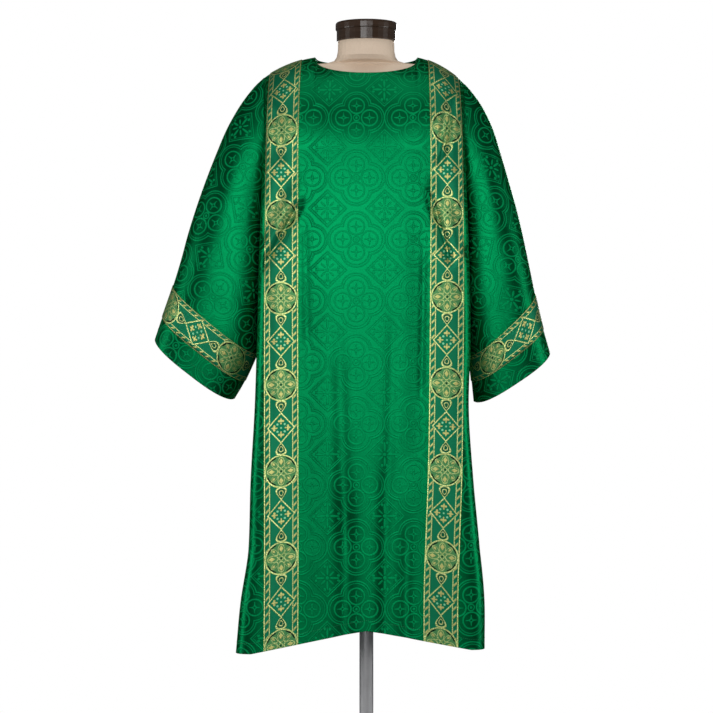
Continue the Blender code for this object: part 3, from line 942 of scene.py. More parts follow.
# the body's sections: height; half widths; depths; power of the outline; share by which the
# arm presses the side in; and where the bands' inner edges hang
LEVEL_NAMES = "left right front back square press left_band right_band".split()
LEVELS = (
    (1.430, 0.2170, 0.2090, 0.098, 0.095, 8.0, 0.066, 0.1440, 0.1350),
    (1.300, 0.2240, 0.2135, 0.124, 0.112, 8.0, 0.066, 0.1440, 0.1345),
    (1.100, 0.2305, 0.2200, 0.134, 0.108, 9.5, 0.066, 0.1440, 0.1340),
    (0.900, 0.2345, 0.2225, 0.138, 0.112, 11.5, 0.066, 0.1440, 0.1325),
    (0.750, 0.2385, 0.2175, 0.143, 0.118, 13.0, 0.058, 0.1435, 0.1310),
    (0.600, 0.2460, 0.2260, 0.151, 0.126, 14.0, 0.050, 0.1430, 0.1280),
    (0.450, 0.2505, 0.2395, 0.160, 0.134, 14.0, 0.060, 0.1425, 0.1225),
    (0.345, 0.2665, 0.2490, 0.167, 0.141, 14.0, 0.074, 0.1425, 0.1190),
    (0.240, 0.2760, 0.2490, 0.174, 0.148, 14.0, 0.084, 0.1430, 0.1185),
)
SHOULDERS = {
    Side.LEFT: Shoulder(0.13, 2.4, 0.138, 0.2050, 0.2200, 0.0020),
    Side.RIGHT: Shoulder(0.20, 3.6, 0.131, 0.1950, 0.2110, 0.0118),
}
HALVES = {
    Face.FRONT: Half(0.080, 0.0415, 0.0554, 1.05),
    Face.BACK: Half(0.062, 0.008, 0.012, 2.0),
}
# broad folds first, then the small creases
FOLDS = {
    Face.FRONT: (
        Fold(-0.040, 0.74, -0.044, 0.20, 0.042, -0.0040),
        Fold(-0.002, 0.76, 0.000, 0.20, 0.032, 0.0008),
        Fold(0.052, 0.74, 0.056, 0.20, 0.036, -0.0024),
        Fold(0.098, 0.58, 0.094, 0.20, 0.028, -0.0034),
        Fold(-0.118, 1.06, -0.116, 0.56, 0.026, -0.0016),
        Fold(0.116, 1.22, 0.114, 0.70, 0.024, -0.0014),
        Fold(-0.148, 1.27, -0.212, 1.12, 0.018, -0.0060),
        Fold(0.146, 1.26, 0.212, 1.10, 0.018, -0.0060),
        Fold(-0.128, 1.206, -0.202, 1.070, 0.0075, -0.0120),
        Fold(-0.150, 1.215, -0.216, 1.085, 0.0080, 0.0040),
        Fold(-0.204, 1.400, -0.186, 1.290, 0.0100, -0.0080),
        Fold(0.136, 1.225, 0.178, 1.080, 0.0075, -0.0120),
        Fold(0.168, 1.215, 0.208, 1.075, 0.008, 0.0034),
        Fold(0.200, 1.430, 0.166, 1.290, 0.0090, -0.0110),
        Fold(-0.128, 1.180, -0.124, 0.920, 0.006, -0.0016),
        Fold(0.128, 1.130, 0.124, 0.820, 0.006, -0.0020),
        Fold(-0.204, 1.060, -0.200, 0.760, 0.008, -0.0020),
        Fold(0.060, 0.980, 0.052, 0.640, 0.012, -0.0015),
        Fold(-0.058, 0.940, -0.048, 0.520, 0.015, -0.0028),
        Fold(-0.236, 0.700, -0.242, 0.260, 0.009, -0.0030),
        Fold(0.230, 0.620, 0.238, 0.240, 0.010, -0.0030),
        Fold(0.045, 0.680, 0.043, 0.200, 0.013, -0.0026),
        Fold(-0.042, 0.640, -0.045, 0.200, 0.016, -0.0032),
        Fold(0.100, 0.560, 0.098, 0.260, 0.011, -0.0014),
    ),
    Face.BACK: (
        Fold(-0.020, 1.20, -0.028, 0.20, 0.034, -0.0070),
        Fold(0.052, 1.05, 0.060, 0.20, 0.034, 0.0070),
        Fold(-0.098, 0.95, -0.104, 0.20, 0.030, 0.0050),
        Fold(0.126, 0.90, 0.122, 0.20, 0.030, -0.0050),
        Fold(-0.150, 1.230, -0.205, 1.090, 0.008, -0.0032),
        Fold(0.146, 1.245, 0.200, 1.080, 0.009, -0.0030),
        Fold(0.020, 1.350, 0.014, 0.800, 0.012, -0.0025),
        Fold(-0.060, 1.100, -0.064, 0.420, 0.011, 0.0026),
        Fold(0.090, 0.960, 0.094, 0.200, 0.011, -0.0030),
        Fold(-0.134, 0.700, -0.138, 0.200, 0.010, -0.0028),
        Fold(-0.210, 0.820, -0.214, 0.240, 0.010, -0.0026),
        Fold(0.205, 0.740, 0.212, 0.240, 0.010, 0.0026),
        Fold(0.010, 0.520, 0.012, 0.200, 0.009, 0.0024),
    ),
}


class Sheet(NamedTuple):
    """Grid of a piece: its points, its outward directions and its map in metres."""

    points: Array
    normals: Array
    uv: Array


@dataclass
class Body:
    """Front and back panels of the body, with their hems, necklines and folds."""

    wall: float = 0.0020
    seam_half: float = 0.00003  # from the panels' edges to the plane between them
    corner_relief: float = 0.0012  # how far the neck corners stand back from that plane
    corner_span: float = 0.006
    neck_corner_z: float = 1.506
    chest_z: float = 1.300
    chest_bow: float = 0.75  # how full the chest is under the neckline
    underarm_z: float = 1.100
    side_hem_z: float = 0.240
    neck_half: float = 0.110
    neck_curve: float = 0.4  # power of the neckline's drop
    neck_cloth: float = 0.118  # from the middle along the cloth: the neck corner,
    band_in: float = 0.142  # a band's inner edge,
    band_out: float = 0.2135  # and its outer edge
    armhole_depth: float = 0.062
    press_span: float = 0.075  # how much of the side the arm presses in
    side_strip: float = 0.06  # what the strip beyond a band counts for, where folds are placed
    arch_start: float = 0.187  # share of the fall where the hem's arch starts
    arch_reach: float = 0.88  # share of the half width that the arch spans
    fold_start: float = 0.35  # shares of a fold's length over which it rises and dies
    fold_end: float = 0.25
    neck_columns: int = 24
    collar_columns: int = 5
    band_columns: int = 15
    side_columns: int = 34
    side_crowd: float = 1.4  # power that crowds the columns beside a band
    section_steps: int = 360
    # rows of the turn over the shoulder, as shares of it, and below it down to the hem
    seam_shares: tuple[float, ...] = (0.0, 0.004, 0.009, 0.015, 0.022, 0.030, 0.040)
    turn_start: float = 0.056
    turn_rows: int = 42
    arm_rows: int = 39
    skirt_rows: int = 159
    hem_steps: tuple[float, ...] = (0.012, 0.008, 0.005, 0.0025, 0.001, 0.0)

    def level_at(self, z: Array) -> dict[str, Array]:
        """The columns of the table of levels by name, each read at some heights."""
        height, *columns = np.array(LEVELS).T
        spot = np.interp(-z, -height, np.arange(len(height)))
        return {name: smooth_table(spot, column) for name, column in zip(LEVEL_NAMES, columns)}

    def sections(self, z: Array, side: Side, face: Face) -> tuple[Array, Array, Array]:
        """Fine outlines of a quarter of the body.

        x is width * sin(t) ** p and y is depth * cos(t) ** p.  The angle t crowds towards both
        ends, so that the steps along the cloth are alike.  The side is pressed in by a bell
        curve over y, where the arm hangs.

        Args:
            z: heights.
            side: the side of the quarter.
            face: its front or back.

        Returns:
            Lengths along the cloth, x and y, each heights by steps.
        """
        level = self.level_at(z[:, None])
        square = level["square"]
        share = np.linspace(0.0, 1.0, self.section_steps)
        near, far = share ** (square / 2.0), (1.0 - share) ** (square / 2.0)
        turn = math.pi / 2 * near / (near + far)
        x = level[side.word] * np.sin(turn) ** (2.0 / square)
        y = level[face.word] * np.cos(turn) ** (2.0 / square)
        y[:, -1] = 0.0
        x = x * (1.0 - level["press"] * np.exp(-((y / self.press_span) ** 2)))
        return run_length(np.stack([x, y], axis=-1), 1), x, y

    def armhole_edge(self, z: Array) -> Array:
        """Distance of a panel's edge from the plane between the panels: a quarter ellipse."""
        rise = np.clip((z - self.underarm_z) / (self.chest_z - self.underarm_z), 0.0, 1.0)
        return np.maximum(self.seam_half, self.armhole_depth * np.sqrt(1.0 - (1.0 - rise) ** 2))

    def columns(self) -> tuple[Array, Array]:
        """Places of the columns across half a panel.

        Returns:
            Lengths along the cloth up to a band's outer edge, and shares of the strip beyond.
        """
        across = np.concatenate(
            [
                np.linspace(0.0, self.neck_cloth, self.neck_columns, endpoint=False),
                np.linspace(self.neck_cloth, self.band_in, self.collar_columns, endpoint=False),
                np.linspace(self.band_in, self.band_out, self.band_columns),
            ]
        )
        strip = np.linspace(0.0, 1.0, self.side_columns + 1)[1:] ** self.side_crowd
        return (
            np.concatenate([across, np.full(self.side_columns, self.band_out)]),
            np.concatenate([np.zeros(len(across)), strip]),
        )

    def band_span(self, side: Side) -> slice:
        """Columns of a whole panel that a vertical band covers.

        Args:
            side: the band's side.

        Returns:
            The columns.
        """
        first = self.neck_columns + self.collar_columns
        last = first + self.band_columns - 1
        middle = last + self.side_columns
        if side is Side.LEFT:
            return slice(middle - last, middle - first + 1)
        return slice(middle + first, middle + last + 1)

    def turn_shares(self) -> Array:
        """Shares of the quarter turn over the shoulder, closer together at the seam."""
        even = np.linspace(self.turn_start, 1.0, self.turn_rows)
        return np.concatenate([self.seam_shares, even])

    def heights(self) -> Array:
        """Heights of the rows from the chest to the hem, at the side edge.

        Returns:
            The heights, from the top.
        """
        hem = self.side_hem_z + np.array(self.hem_steps)
        arm = np.linspace(self.chest_z, self.underarm_z, self.arm_rows + 1)
        skirt = np.linspace(self.underarm_z, hem[0], self.skirt_rows + 1)
        return np.concatenate([arm, skirt[1:], hem[1:]])

    def armhole_rows(self) -> int:
        """Number of rows from the shoulder line to the underarm."""
        return len(self.turn_shares()) + self.arm_rows

    def half_panel(self, side: Side, face: Face) -> tuple[Array, Array]:
        """Half a panel before its folds.

        Its top rows make a quarter turn from the shoulder line to the chest: y goes with the
        sine and z with 1 - cosine of the turn, and beside the neck both go with its share.
        Its other rows lie on the body's sections.

        Args:
            side: its side.
            face: its front or back.

        Returns:
            Its points, and the length of cloth from the middle to each of them.
        """
        shoulder, half = SHOULDERS[side], HALVES[face]
        across, strip = self.columns()
        share = self.turn_shares()[:-1, None]
        top = self.top_row(shoulder, half)
        heights = self.heights()
        length, x, y = self.sections(heights, side, face)
        edge = self.armhole_edge(heights)
        reach = [np.interp(-e, -row, run) for e, row, run in zip(edge, y, length)]
        reach = np.array(reach)[:, None]
        band = self.level_at(heights[:, None])[f"{side.word}_band"]
        width = self.band_out - self.band_in
        spot = band * np.minimum(across / self.band_in, 1.0)
        spot = spot + np.maximum(across - self.band_in, 0.0)
        side_length = top[0][-1] - shoulder.band_out
        side_length = side_length + (reach[0, 0] - band[0, 0] - width - side_length) * share
        cloth = spot[0] + strip * side_length
        spot = spot + strip * (reach - band - width)
        cloth = np.vstack([cloth, spot])
        x = np.array([np.interp(s, run, row) for s, run, row in zip(spot, length, x)])
        y = np.array([np.interp(s, run, row) for s, run, row in zip(spot, length, y)])
        over = np.clip(across / self.neck_cloth, 0.0, 1.0) ** 2
        turn = share * math.pi / 2
        bowed = share + self.chest_bow * share * (1.0 - share)
        forward = over * np.sin(turn) + (1.0 - over) * bowed
        down = over * (1.0 - np.cos(turn)) + (1.0 - over) * share
        out = x[-1] / (self.arch_reach * x[-1].max())
        middle = np.clip(1.0 - out**half.hem_power, 0.0, 1.0)
        rise = half.hem_rise * middle + shoulder.hem_lift * (1.0 - middle)
        fall = (self.chest_z - heights[:, None]) / (self.chest_z - self.side_hem_z)
        z = heights[:, None] + rise * smooth_step(fall - self.arch_start)
        all_x = np.vstack([top[0] + (x[0] - top[0]) * share, x])
        all_y = np.vstack([top[1] + (y[0] - top[1]) * forward, y])
        all_z = np.vstack([top[2] + (self.chest_z - top[2]) * down, z])
        return np.stack([side.value * all_x, face.value * all_y, all_z], axis=-1), cloth

    def top_row(self, shoulder: Shoulder, half: Half) -> tuple[Array, Array, Array]:
        """Neckline and shoulder line of half a panel.

        Both are curves of the distance x from the middle plane.  The neckline's y is that of
        an ellipse, and its z drops by a power of the same.

        Args:
            shoulder: the side's shoulder line.
            half: the face's neckline.

        Returns:
            x, y and z along the row.
        """
        across, strip = self.columns()
        x = np.interp(
            across,
            [0.0, self.neck_cloth, self.band_in, self.band_out],
            [0.0, self.neck_half, shoulder.band_in, shoulder.band_out],
        )
        x = x + strip * (shoulder.seam - shoulder.band_out)
        open_part = np.clip(1.0 - (x / self.neck_half) ** 2, 0.0, 1.0)
        relief = self.corner_relief * np.exp(-(((x - self.neck_half) / self.corner_span) ** 2))
        y = np.maximum(half.neck_depth * np.sqrt(open_part), self.seam_half + relief)
        beyond = np.maximum(x - self.neck_half, 0.0)
        z = self.neck_corner_z - shoulder.slope * beyond - shoulder.bend * beyond**2
        return x, y, z - half.neck_drop * open_part**self.neck_curve

    def fold_push(self, points: Array, across: Array, folds: Sequence[Fold]) -> Array:
        """Height of the folds: bell curves across their lines, that rise and die along them.

        Args:
            points: the panel's grid.
            across: distances from its middle, by which the folds are placed.
            folds: the folds.

        Returns:
            How far they push each point out.
        """
        push = np.zeros(points.shape[:2])
        for fold in folds:
            start = np.array([fold.x_top, fold.z_top])
            run = np.array([fold.x_low, fold.z_low]) - start
            flat = np.stack([across, points[..., 2]], axis=-1) - start
            along = flat @ run / (run @ run)
            aside = (flat[..., 0] * run[1] - flat[..., 1] * run[0]) / math.hypot(*run)
            fade = smooth_step(along / self.fold_start)
            fade = fade * smooth_step((1.0 + self.fold_end - along) / self.fold_end)
            push += fold.height * fade * np.exp(-((aside / fold.width) ** 2))
        return push

    def sheet(self, face: Face) -> Sheet:
        """Whole panel from its left edge to its right edge, with its folds and its map.

        Args:
            face: front or back.

        Returns:
            Its grid.
        """
        left, left_cloth = self.half_panel(Side.LEFT, face)
        right, right_cloth = self.half_panel(Side.RIGHT, face)
        points = np.concatenate([left[:, :0:-1], right], axis=1)
        cloth = np.concatenate([-left_cloth[:, :0:-1], right_cloth], axis=1)
        across, strip = self.columns()
        across = across + strip * self.side_strip
        across = np.broadcast_to(np.concatenate([-across[:0:-1], across]), points.shape[:2])
        points[..., 1] += face.value * self.fold_push(points, across, FOLDS[face])
        drop = run_length(points, 0)
        chest = len(self.turn_shares()) - 1
        uv = np.stack([cloth, drop[chest] - drop], axis=-1)
        normals = grid_normals(points, False) * face.value
        normals[0, :, 1] = 0.0
        normals[0] = unit(normals[0])
        return Sheet(points, normals, uv)

    def build(self, face: Face, finishes: Finishes) -> tuple[Any, Sheet]:
        """Make a panel as a thin shell with a lining.

        Args:
            face: front or back.
            finishes: the materials.

        Returns:
            The piece and its grid.
        """
        sheet = self.sheet(face)
        sides = (finishes.damask, finishes.lining)
        name, flipped = f"{face.word}_cloth", face is Face.BACK
        return cloth_object(name, sheet.points, sheet.uv, flipped, self.wall, sides), sheet


# outer x, outer z, inner x and inner z of each ring
SLEEVE_RINGS = {
    Side.LEFT: (
        (0.2200, 1.4627, 0.2170, 1.1000),
        (0.2430, 1.4400, 0.2200, 1.0620),
        (0.2710, 1.4030, 0.2225, 1.0280),
        (0.3000, 1.3520, 0.2245, 0.9950),
        (0.3245, 1.2940, 0.2260, 0.9680),
        (0.3460, 1.2380, 0.2275, 0.9440),
        (0.3655, 1.1820, 0.2290, 0.9210),
        (0.3827, 1.1260, 0.2310, 0.9010),
        (0.3978, 1.0700, 0.2325, 0.8850),
        (0.4145, 1.0160, 0.2350, 0.8690),
        (0.4370, 0.9510, 0.2610, 0.8110),
        (0.4530, 0.9030, 0.2835, 0.7720),
    ),
    Side.RIGHT: (
        (0.2110, 1.4491, 0.2070, 1.1000),
        (0.2270, 1.4310, 0.2110, 1.0600),
        (0.2500, 1.3980, 0.2122, 1.0250),
        (0.2727, 1.3500, 0.2126, 0.9920),
        (0.2900, 1.2940, 0.2130, 0.9640),
        (0.3060, 1.2380, 0.2140, 0.9400),
        (0.3215, 1.1820, 0.2150, 0.9180),
        (0.3345, 1.1260, 0.2160, 0.8980),
        (0.3475, 1.0640, 0.2170, 0.8800),
        (0.3612, 0.9975, 0.2200, 0.8640),
        (0.3784, 0.9260, 0.2265, 0.8100),
        (0.3930, 0.8740, 0.2310, 0.7660),
    ),
}
RING_DEPTHS = (0.062, 0.067, 0.071, 0.075, 0.078, 0.080, 0.081, 0.082, 0.082, 0.082, 0.080, 0.078)
RING_BULGES = (0.000, 0.000, 0.000, 0.000, 0.001, 0.003, 0.005, 0.008, 0.010, 0.013, 0.014, 0.017)


class SleeveFold(NamedTuple):
    """Soft lengthwise fold of a sleeve, from a first to a last ring.

    Its angle goes round the ring, 0 at the outer end and 90 in front.
    """

    degrees: float
    width: float
    first: float
    last: float
    height: float
    drift: float = 0.0


@dataclass
class Sleeve:
    """Wide sleeve: rings from the armhole's own edge to the cuff."""

    side: Side
    seam_gap: float = 0.0010
    seam_blend: float = 3.5  # ring by which the sleeve has left the armhole's own outline
    square: float = 2.8
    fold_fade: float = 2.0  # rings over which a fold rises and dies
    drift_rings: float = 10.0  # rings in which its angle moves by its drift
    wall: float = 0.0020
    band_rows: tuple[float, float] = (9.0, 10.0)
    # rows of the grid, by the rings between which they lie
    seam_rows: tuple[float, ...] = (0.0, 0.03, 0.08, 0.15, 0.22)
    even_rows: tuple[float, float, int] = (0.30, 10.80, 106)  # first, last and how many
    hem_rows: tuple[float, ...] = (10.88, 10.94, 10.98, 11.0)
    # broad folds first, then the small creases
    folds: tuple[SleeveFold, ...] = (
        SleeveFold(44.0, 16.0, 2.0, 9.5, -0.002),
        SleeveFold(132.0, 18.0, 1.0, 11.0, 0.003),
        SleeveFold(240.0, 18.0, 2.0, 11.0, -0.007),
        SleeveFold(285.0, 18.0, 1.5, 11.0, 0.006),
        SleeveFold(152.0, 8.0, 2.0, 10.0, -0.0018, 6.0),
        SleeveFold(26.0, 9.0, 3.0, 9.0, -0.0010, 6.0),
        SleeveFold(215.0, 8.0, 2.5, 9.0, 0.0022, 8.0),
        SleeveFold(262.0, 8.0, 3.5, 10.5, -0.0024, -6.0),
        SleeveFold(320.0, 8.0, 2.0, 8.0, -0.0018, 6.0),
    )

    def rows(self) -> Array:
        """Places of the rings along the sleeve, closer together at the armhole and the cuff."""
        return np.concatenate([self.seam_rows, np.linspace(*self.even_rows), self.hem_rows])

    def armhole_ring(self, front: Sheet, back: Sheet, body: Body) -> Array:
        """The armhole's edge as a ring: down the front from the shoulder, and up the back.

        Args:
            front: the front panel's grid.
            back: the back panel's grid.
            body: the body that they belong to.

        Returns:
            The ring's points.
        """
        column = 0 if self.side is Side.LEFT else -1
        last = body.armhole_rows() - 1
        down = front.points[: last + 1, column].copy()
        up = back.points[last - 1 : 0 : -1, column]
        down[[0, -1], 1] = 0.0
        return np.concatenate([down, up])

    def push(self, degrees: Array, row: Array) -> Array:
        """Height of the lengthwise folds: bell curves round the ring that rise and die along it.

        Args:
            degrees: angles round the ring.
            row: places along the sleeve, in rings.

        Returns:
            How far the folds push each point out.
        """
        total = np.zeros(np.broadcast(degrees, row).shape)
        for fold in self.folds:
            fade = smooth_step((row - fold.first) / self.fold_fade)
            fade = fade * smooth_step((fold.last + 1.0 - row) / self.fold_fade)
            middle = fold.degrees + fold.drift * (row - fold.first) / self.drift_rings
            total = total + fold.height * fade * np.exp(-(((degrees - middle) / fold.width) ** 2))
        return total

    def squared(self, value: Array, share: Array) -> Array:
        """A sine or cosine drawn out towards a squarer ring, by a share."""
        square = np.sign(value) * np.abs(value) ** (2.0 / self.square)
        return value + (square - value) * share

    def points(self, edge: Array) -> Array:
        """Rings of the sleeve: middle + half chord * cos(angle) + depth * sin(angle).

        The ring is squared up a little and its front and back lean towards the cuff by the
        bulge.  The first rings are drawn to the armhole's own edge.

        Args:
            edge: the armhole's ring.

        Returns:
            Rings by points by 3.
        """
        row = self.rows()[:, None]
        sign = self.side.value
        table = np.column_stack([SLEEVE_RINGS[self.side], RING_DEPTHS, RING_BULGES])
        outer_x, outer_z, inner_x, inner_z, depth, bulge = (smooth_table(row, c) for c in table.T)
        middle_z = (edge[0, 2] + edge[len(edge) // 2, 2]) / 2
        half_z = (edge[0, 2] - edge[len(edge) // 2, 2]) / 2
        seam = np.arccos(np.clip((edge[:, 2] - middle_z) / half_z, -1.0, 1.0))
        seam = np.where(np.arange(len(edge)) > len(edge) // 2, 2 * math.pi - seam, seam)
        even = np.linspace(0.0, 2 * math.pi, len(edge), endpoint=False)
        own = smooth_step(row / self.seam_blend)
        angle = seam + (even - seam) * own
        along, across = self.squared(np.cos(angle), own), self.squared(np.sin(angle), own)
        half_x, half_up = (outer_x - inner_x) / 2, (outer_z - inner_z) / 2
        lean = bulge * np.abs(np.sin(angle)) / np.hypot(half_x, half_up)
        x = (outer_x + inner_x) / 2 + half_x * along + lean * half_up
        z = (outer_z + inner_z) / 2 + half_up * along - lean * half_x
        y = -(depth + self.push(np.degrees(angle), row)) * across
        first_x = (table[0, 0] + table[0, 2]) / 2 + (table[0, 0] - table[0, 2]) / 2 * np.cos(seam)
        first_y, first_z = -table[0, 4] * np.sin(seam), middle_z + half_z * np.cos(seam)
        first = np.stack([sign * first_x, first_y, first_z], axis=-1)
        shift = edge + np.array([sign * self.seam_gap, 0.0, 0.0]) - first
        return np.stack([sign * x, y, z], axis=-1) + shift * (1.0 - own)[..., None]

    def tube(self, edge: Array) -> Sheet:
        """The sleeve's grid, starting and ending at its underarm seam, with its map.

        Args:
            edge: the armhole's ring.

        Returns:
            The grid.
        """
        points = self.points(edge)
        points = np.roll(points, -(points.shape[1] // 2), axis=1)
        looped = np.concatenate([points, points[:, :1]], axis=1)
        down, across = self.grain()
        fall = looped @ down
        girth = run_length(looped - fall[..., None] * down, 1)
        front = points.shape[1] * 3 // 4
        u = girth - girth[:, front : front + 1] + (looped[:, front : front + 1] @ across)
        uv = np.stack([u, -fall], axis=-1)
        return Sheet(points, grid_normals(points, True) * self.side.value, uv)

    def grain(self) -> tuple[Array, Array]:
        """Directions of the cloth's grain.

        Returns:
            The way down the sleeve, square to the cuff, and the way along the cuff.
        """
        outer_x, outer_z, inner_x, inner_z = SLEEVE_RINGS[self.side][-1]
        across = np.array([self.side.value * (inner_x - outer_x), 0.0, inner_z - outer_z])
        across /= np.linalg.norm(across)
        return self.side.value * np.array([-across[2], 0.0, across[0]]), across

    def build(self, edge: Array, finishes: Finishes) -> tuple[Any, Sheet]:
        """Make the sleeve as a thin shell with a lining.

        Args:
            edge: the armhole's ring.
            finishes: the materials.

        Returns:
            The piece and its grid.
        """
        tube = self.tube(edge)
        sides = (finishes.damask, finishes.lining)
        name, flipped = f"{self.side.word}_sleeve_cloth", self.side is Side.RIGHT
        return cloth_object(name, tube.points, tube.uv, flipped, self.wall, sides), tube


# where a medallion's middle lies along a band, from the shoulder or the middle of the front
UPRIGHT_PHASES = {Side.LEFT: -0.0283, Side.RIGHT: -0.0186}
CUFF_PHASES = {Side.LEFT: -0.027, Side.RIGHT: 0.026}


@dataclass
class Bands:
    """Woven bands: strips of the cloth's own points, moved out."""

    wall: float = 0.0010
    gap: float = 0.0003
    width: float = GALLOON_WIDTH

    def upright(
        self, side: Side, body: Body, front: Sheet, back: Sheet, finishes: Finishes
    ) -> Any:
        """Vertical band from the front hem over the shoulder to the back hem.

        Args:
            side: its side.
            body: the body that it lies on.
            front: the front panel's grid.
            back: the back panel's grid.
            finishes: the materials.

        Returns:
            The piece.
        """
        span = body.band_span(side)
        front_out, back_out = (self.lifted(panel)[:, span] for panel in (front, back))
        top = (front_out[0] + back_out[0]) / 2
        top[:, 1] = 0.0
        points = np.concatenate([front_out[:0:-1], top[None], back_out[1:]])
        run = run_length(points[:, points.shape[1] // 2], 0)
        run = run - run[len(front_out) - 1] - UPRIGHT_PHASES[side]
        across = np.linspace(-self.width / 2, self.width / 2, points.shape[1])
        uv = np.stack(np.meshgrid(across, run), axis=-1)
        return cloth_object(f"{side.word}_band", points, uv, True, self.wall, (finishes.galloon,))

    def cuff(self, sleeve: Sleeve, tube: Sheet, finishes: Finishes) -> Any:
        """Band round a sleeve, a hand's width above its cuff.

        Args:
            sleeve: the sleeve.
            tube: its grid.
            finishes: the materials.

        Returns:
            The piece.
        """
        rows = sleeve.rows()
        first, last = (int(np.argmin(np.abs(rows - row))) for row in sleeve.band_rows)
        points = self.lifted(tube)[first : last + 1]
        middle = tube.uv[(first + last) // 2, :, 0] - CUFF_PHASES[sleeve.side]
        across = np.linspace(self.width / 2, -self.width / 2, last + 1 - first)
        uv = np.stack(np.meshgrid(middle, across)[::-1], axis=-1)
        name, flipped = f"{sleeve.side.word}_cuff_band", sleeve.side is Side.RIGHT
        return cloth_object(name, points, uv, flipped, self.wall, (finishes.galloon,))

    def lifted(self, sheet: Sheet) -> Array:
        """Points of a band's outer side over a whole grid."""
        return sheet.points + (self.gap + self.wall) * sheet.normals


@dataclass
class Stitching:
    """Lines of small stitches, each a short six-sided thread sunk a little in the cloth."""

    pitch: float = 0.0042
    length: float = 0.0030
    radius: float = 0.00034
    sides: int = 6
    # rings along a stitch: their places in lengths, and lifts and girths in radii
    stations: tuple[float, ...] = (-0.5, -0.28, 0.28, 0.5)
    lifts: tuple[float, ...] = (-0.7, 0.45, 0.45, -0.7)
    girths: tuple[float, ...] = (0.4, 1.0, 1.0, 0.4)

    def line(self, name: str, path: Array, normals: Array, finishes: Finishes) -> Any:
        """Joined mesh of the stitches along a path.

        A stitch is four rings of points: the two middle rings have the full radius, and the
        end rings less than half of it and dip into the cloth.

        Args:
            name: name of the piece.
            path: points on the cloth's outer side.
            normals: outward directions there.
            finishes: the materials.

        Returns:
            The piece.
        """
        run = run_length(path, 0)
        middles = np.arange(self.pitch, run[-1] - self.pitch, self.pitch)
        rings, sides = len(self.stations), self.sides
        stations = middles[:, None] + np.array(self.stations) * self.length
        centre = read_along(stations.ravel(), run, path).reshape(-1, rings, 3)
        out = unit(read_along(middles, run, normals))
        aside = np.cross(out, unit(centre[:, -1] - centre[:, 0]))
        lift = np.array(self.lifts) * self.radius
        centre = centre + lift[None, :, None] * out[:, None]
        turn = np.linspace(0.0, 2 * math.pi, sides, endpoint=False)[None, :, None]
        ring = np.cos(turn) * aside[:, None] + np.sin(turn) * out[:, None]
        girth = self.radius * np.array(self.girths)
        points = centre[:, :, None] + ring[:, None] * girth[None, :, None, None]
        first = rings * sides * np.arange(len(middles))[:, None, None]
        i, j = np.meshgrid(np.arange(rings - 1), np.arange(sides), indexing="ij")
        here, after = i * sides + j, i * sides + (j + 1) % sides
        quads = np.stack([here, after, after + sides, here + sides], axis=-1).reshape(-1, 4)
        caps = np.stack([np.arange(sides)[::-1], np.arange(sides) + (rings - 1) * sides])
        quads, caps = (quads + first).reshape(-1, 4), (caps + first).reshape(-1, sides)
        mesh = bpy.data.meshes.new(name)
        mesh.from_pydata(points.reshape(-1, 3), [], quads.tolist() + caps.tolist())
        return place(name, mesh, (finishes.thread,))

    def row_at(self, sheet: Sheet, distance: float, from_end: bool) -> tuple[Array, Array]:
        """Path across a grid at an even distance from its first or last row.

        Args:
            sheet: the grid.
            distance: how far in from the edge.
            from_end: whether it is measured from the last row.

        Returns:
            The path's points, and the directions there.
        """
        run = run_length(sheet.points, 0)
        run = run[-1] - run if from_end else run
        columns = np.arange(run.shape[1])
        row = np.abs(run - distance).argmin(axis=0)
        a = run[row, columns]
        step = np.where((a < distance) != from_end, 1, -1)
        other = np.clip(row + step, 0, len(run) - 1)
        b = run[other, columns]
        gap = np.where(np.abs(b - a) < 1e-9, 1.0, b - a)
        share = np.clip((distance - a) / gap, 0.0, 1.0)[:, None]
        points = sheet.points[row, columns] * (1 - share) + sheet.points[other, columns] * share
        return points, sheet.normals[row, columns]


class SleeveCut(NamedTuple):
    """Flat size of a sleeve's cloth, all round it, and the length of the band round it."""

    width: float
    length: float
    area: float
    band: float


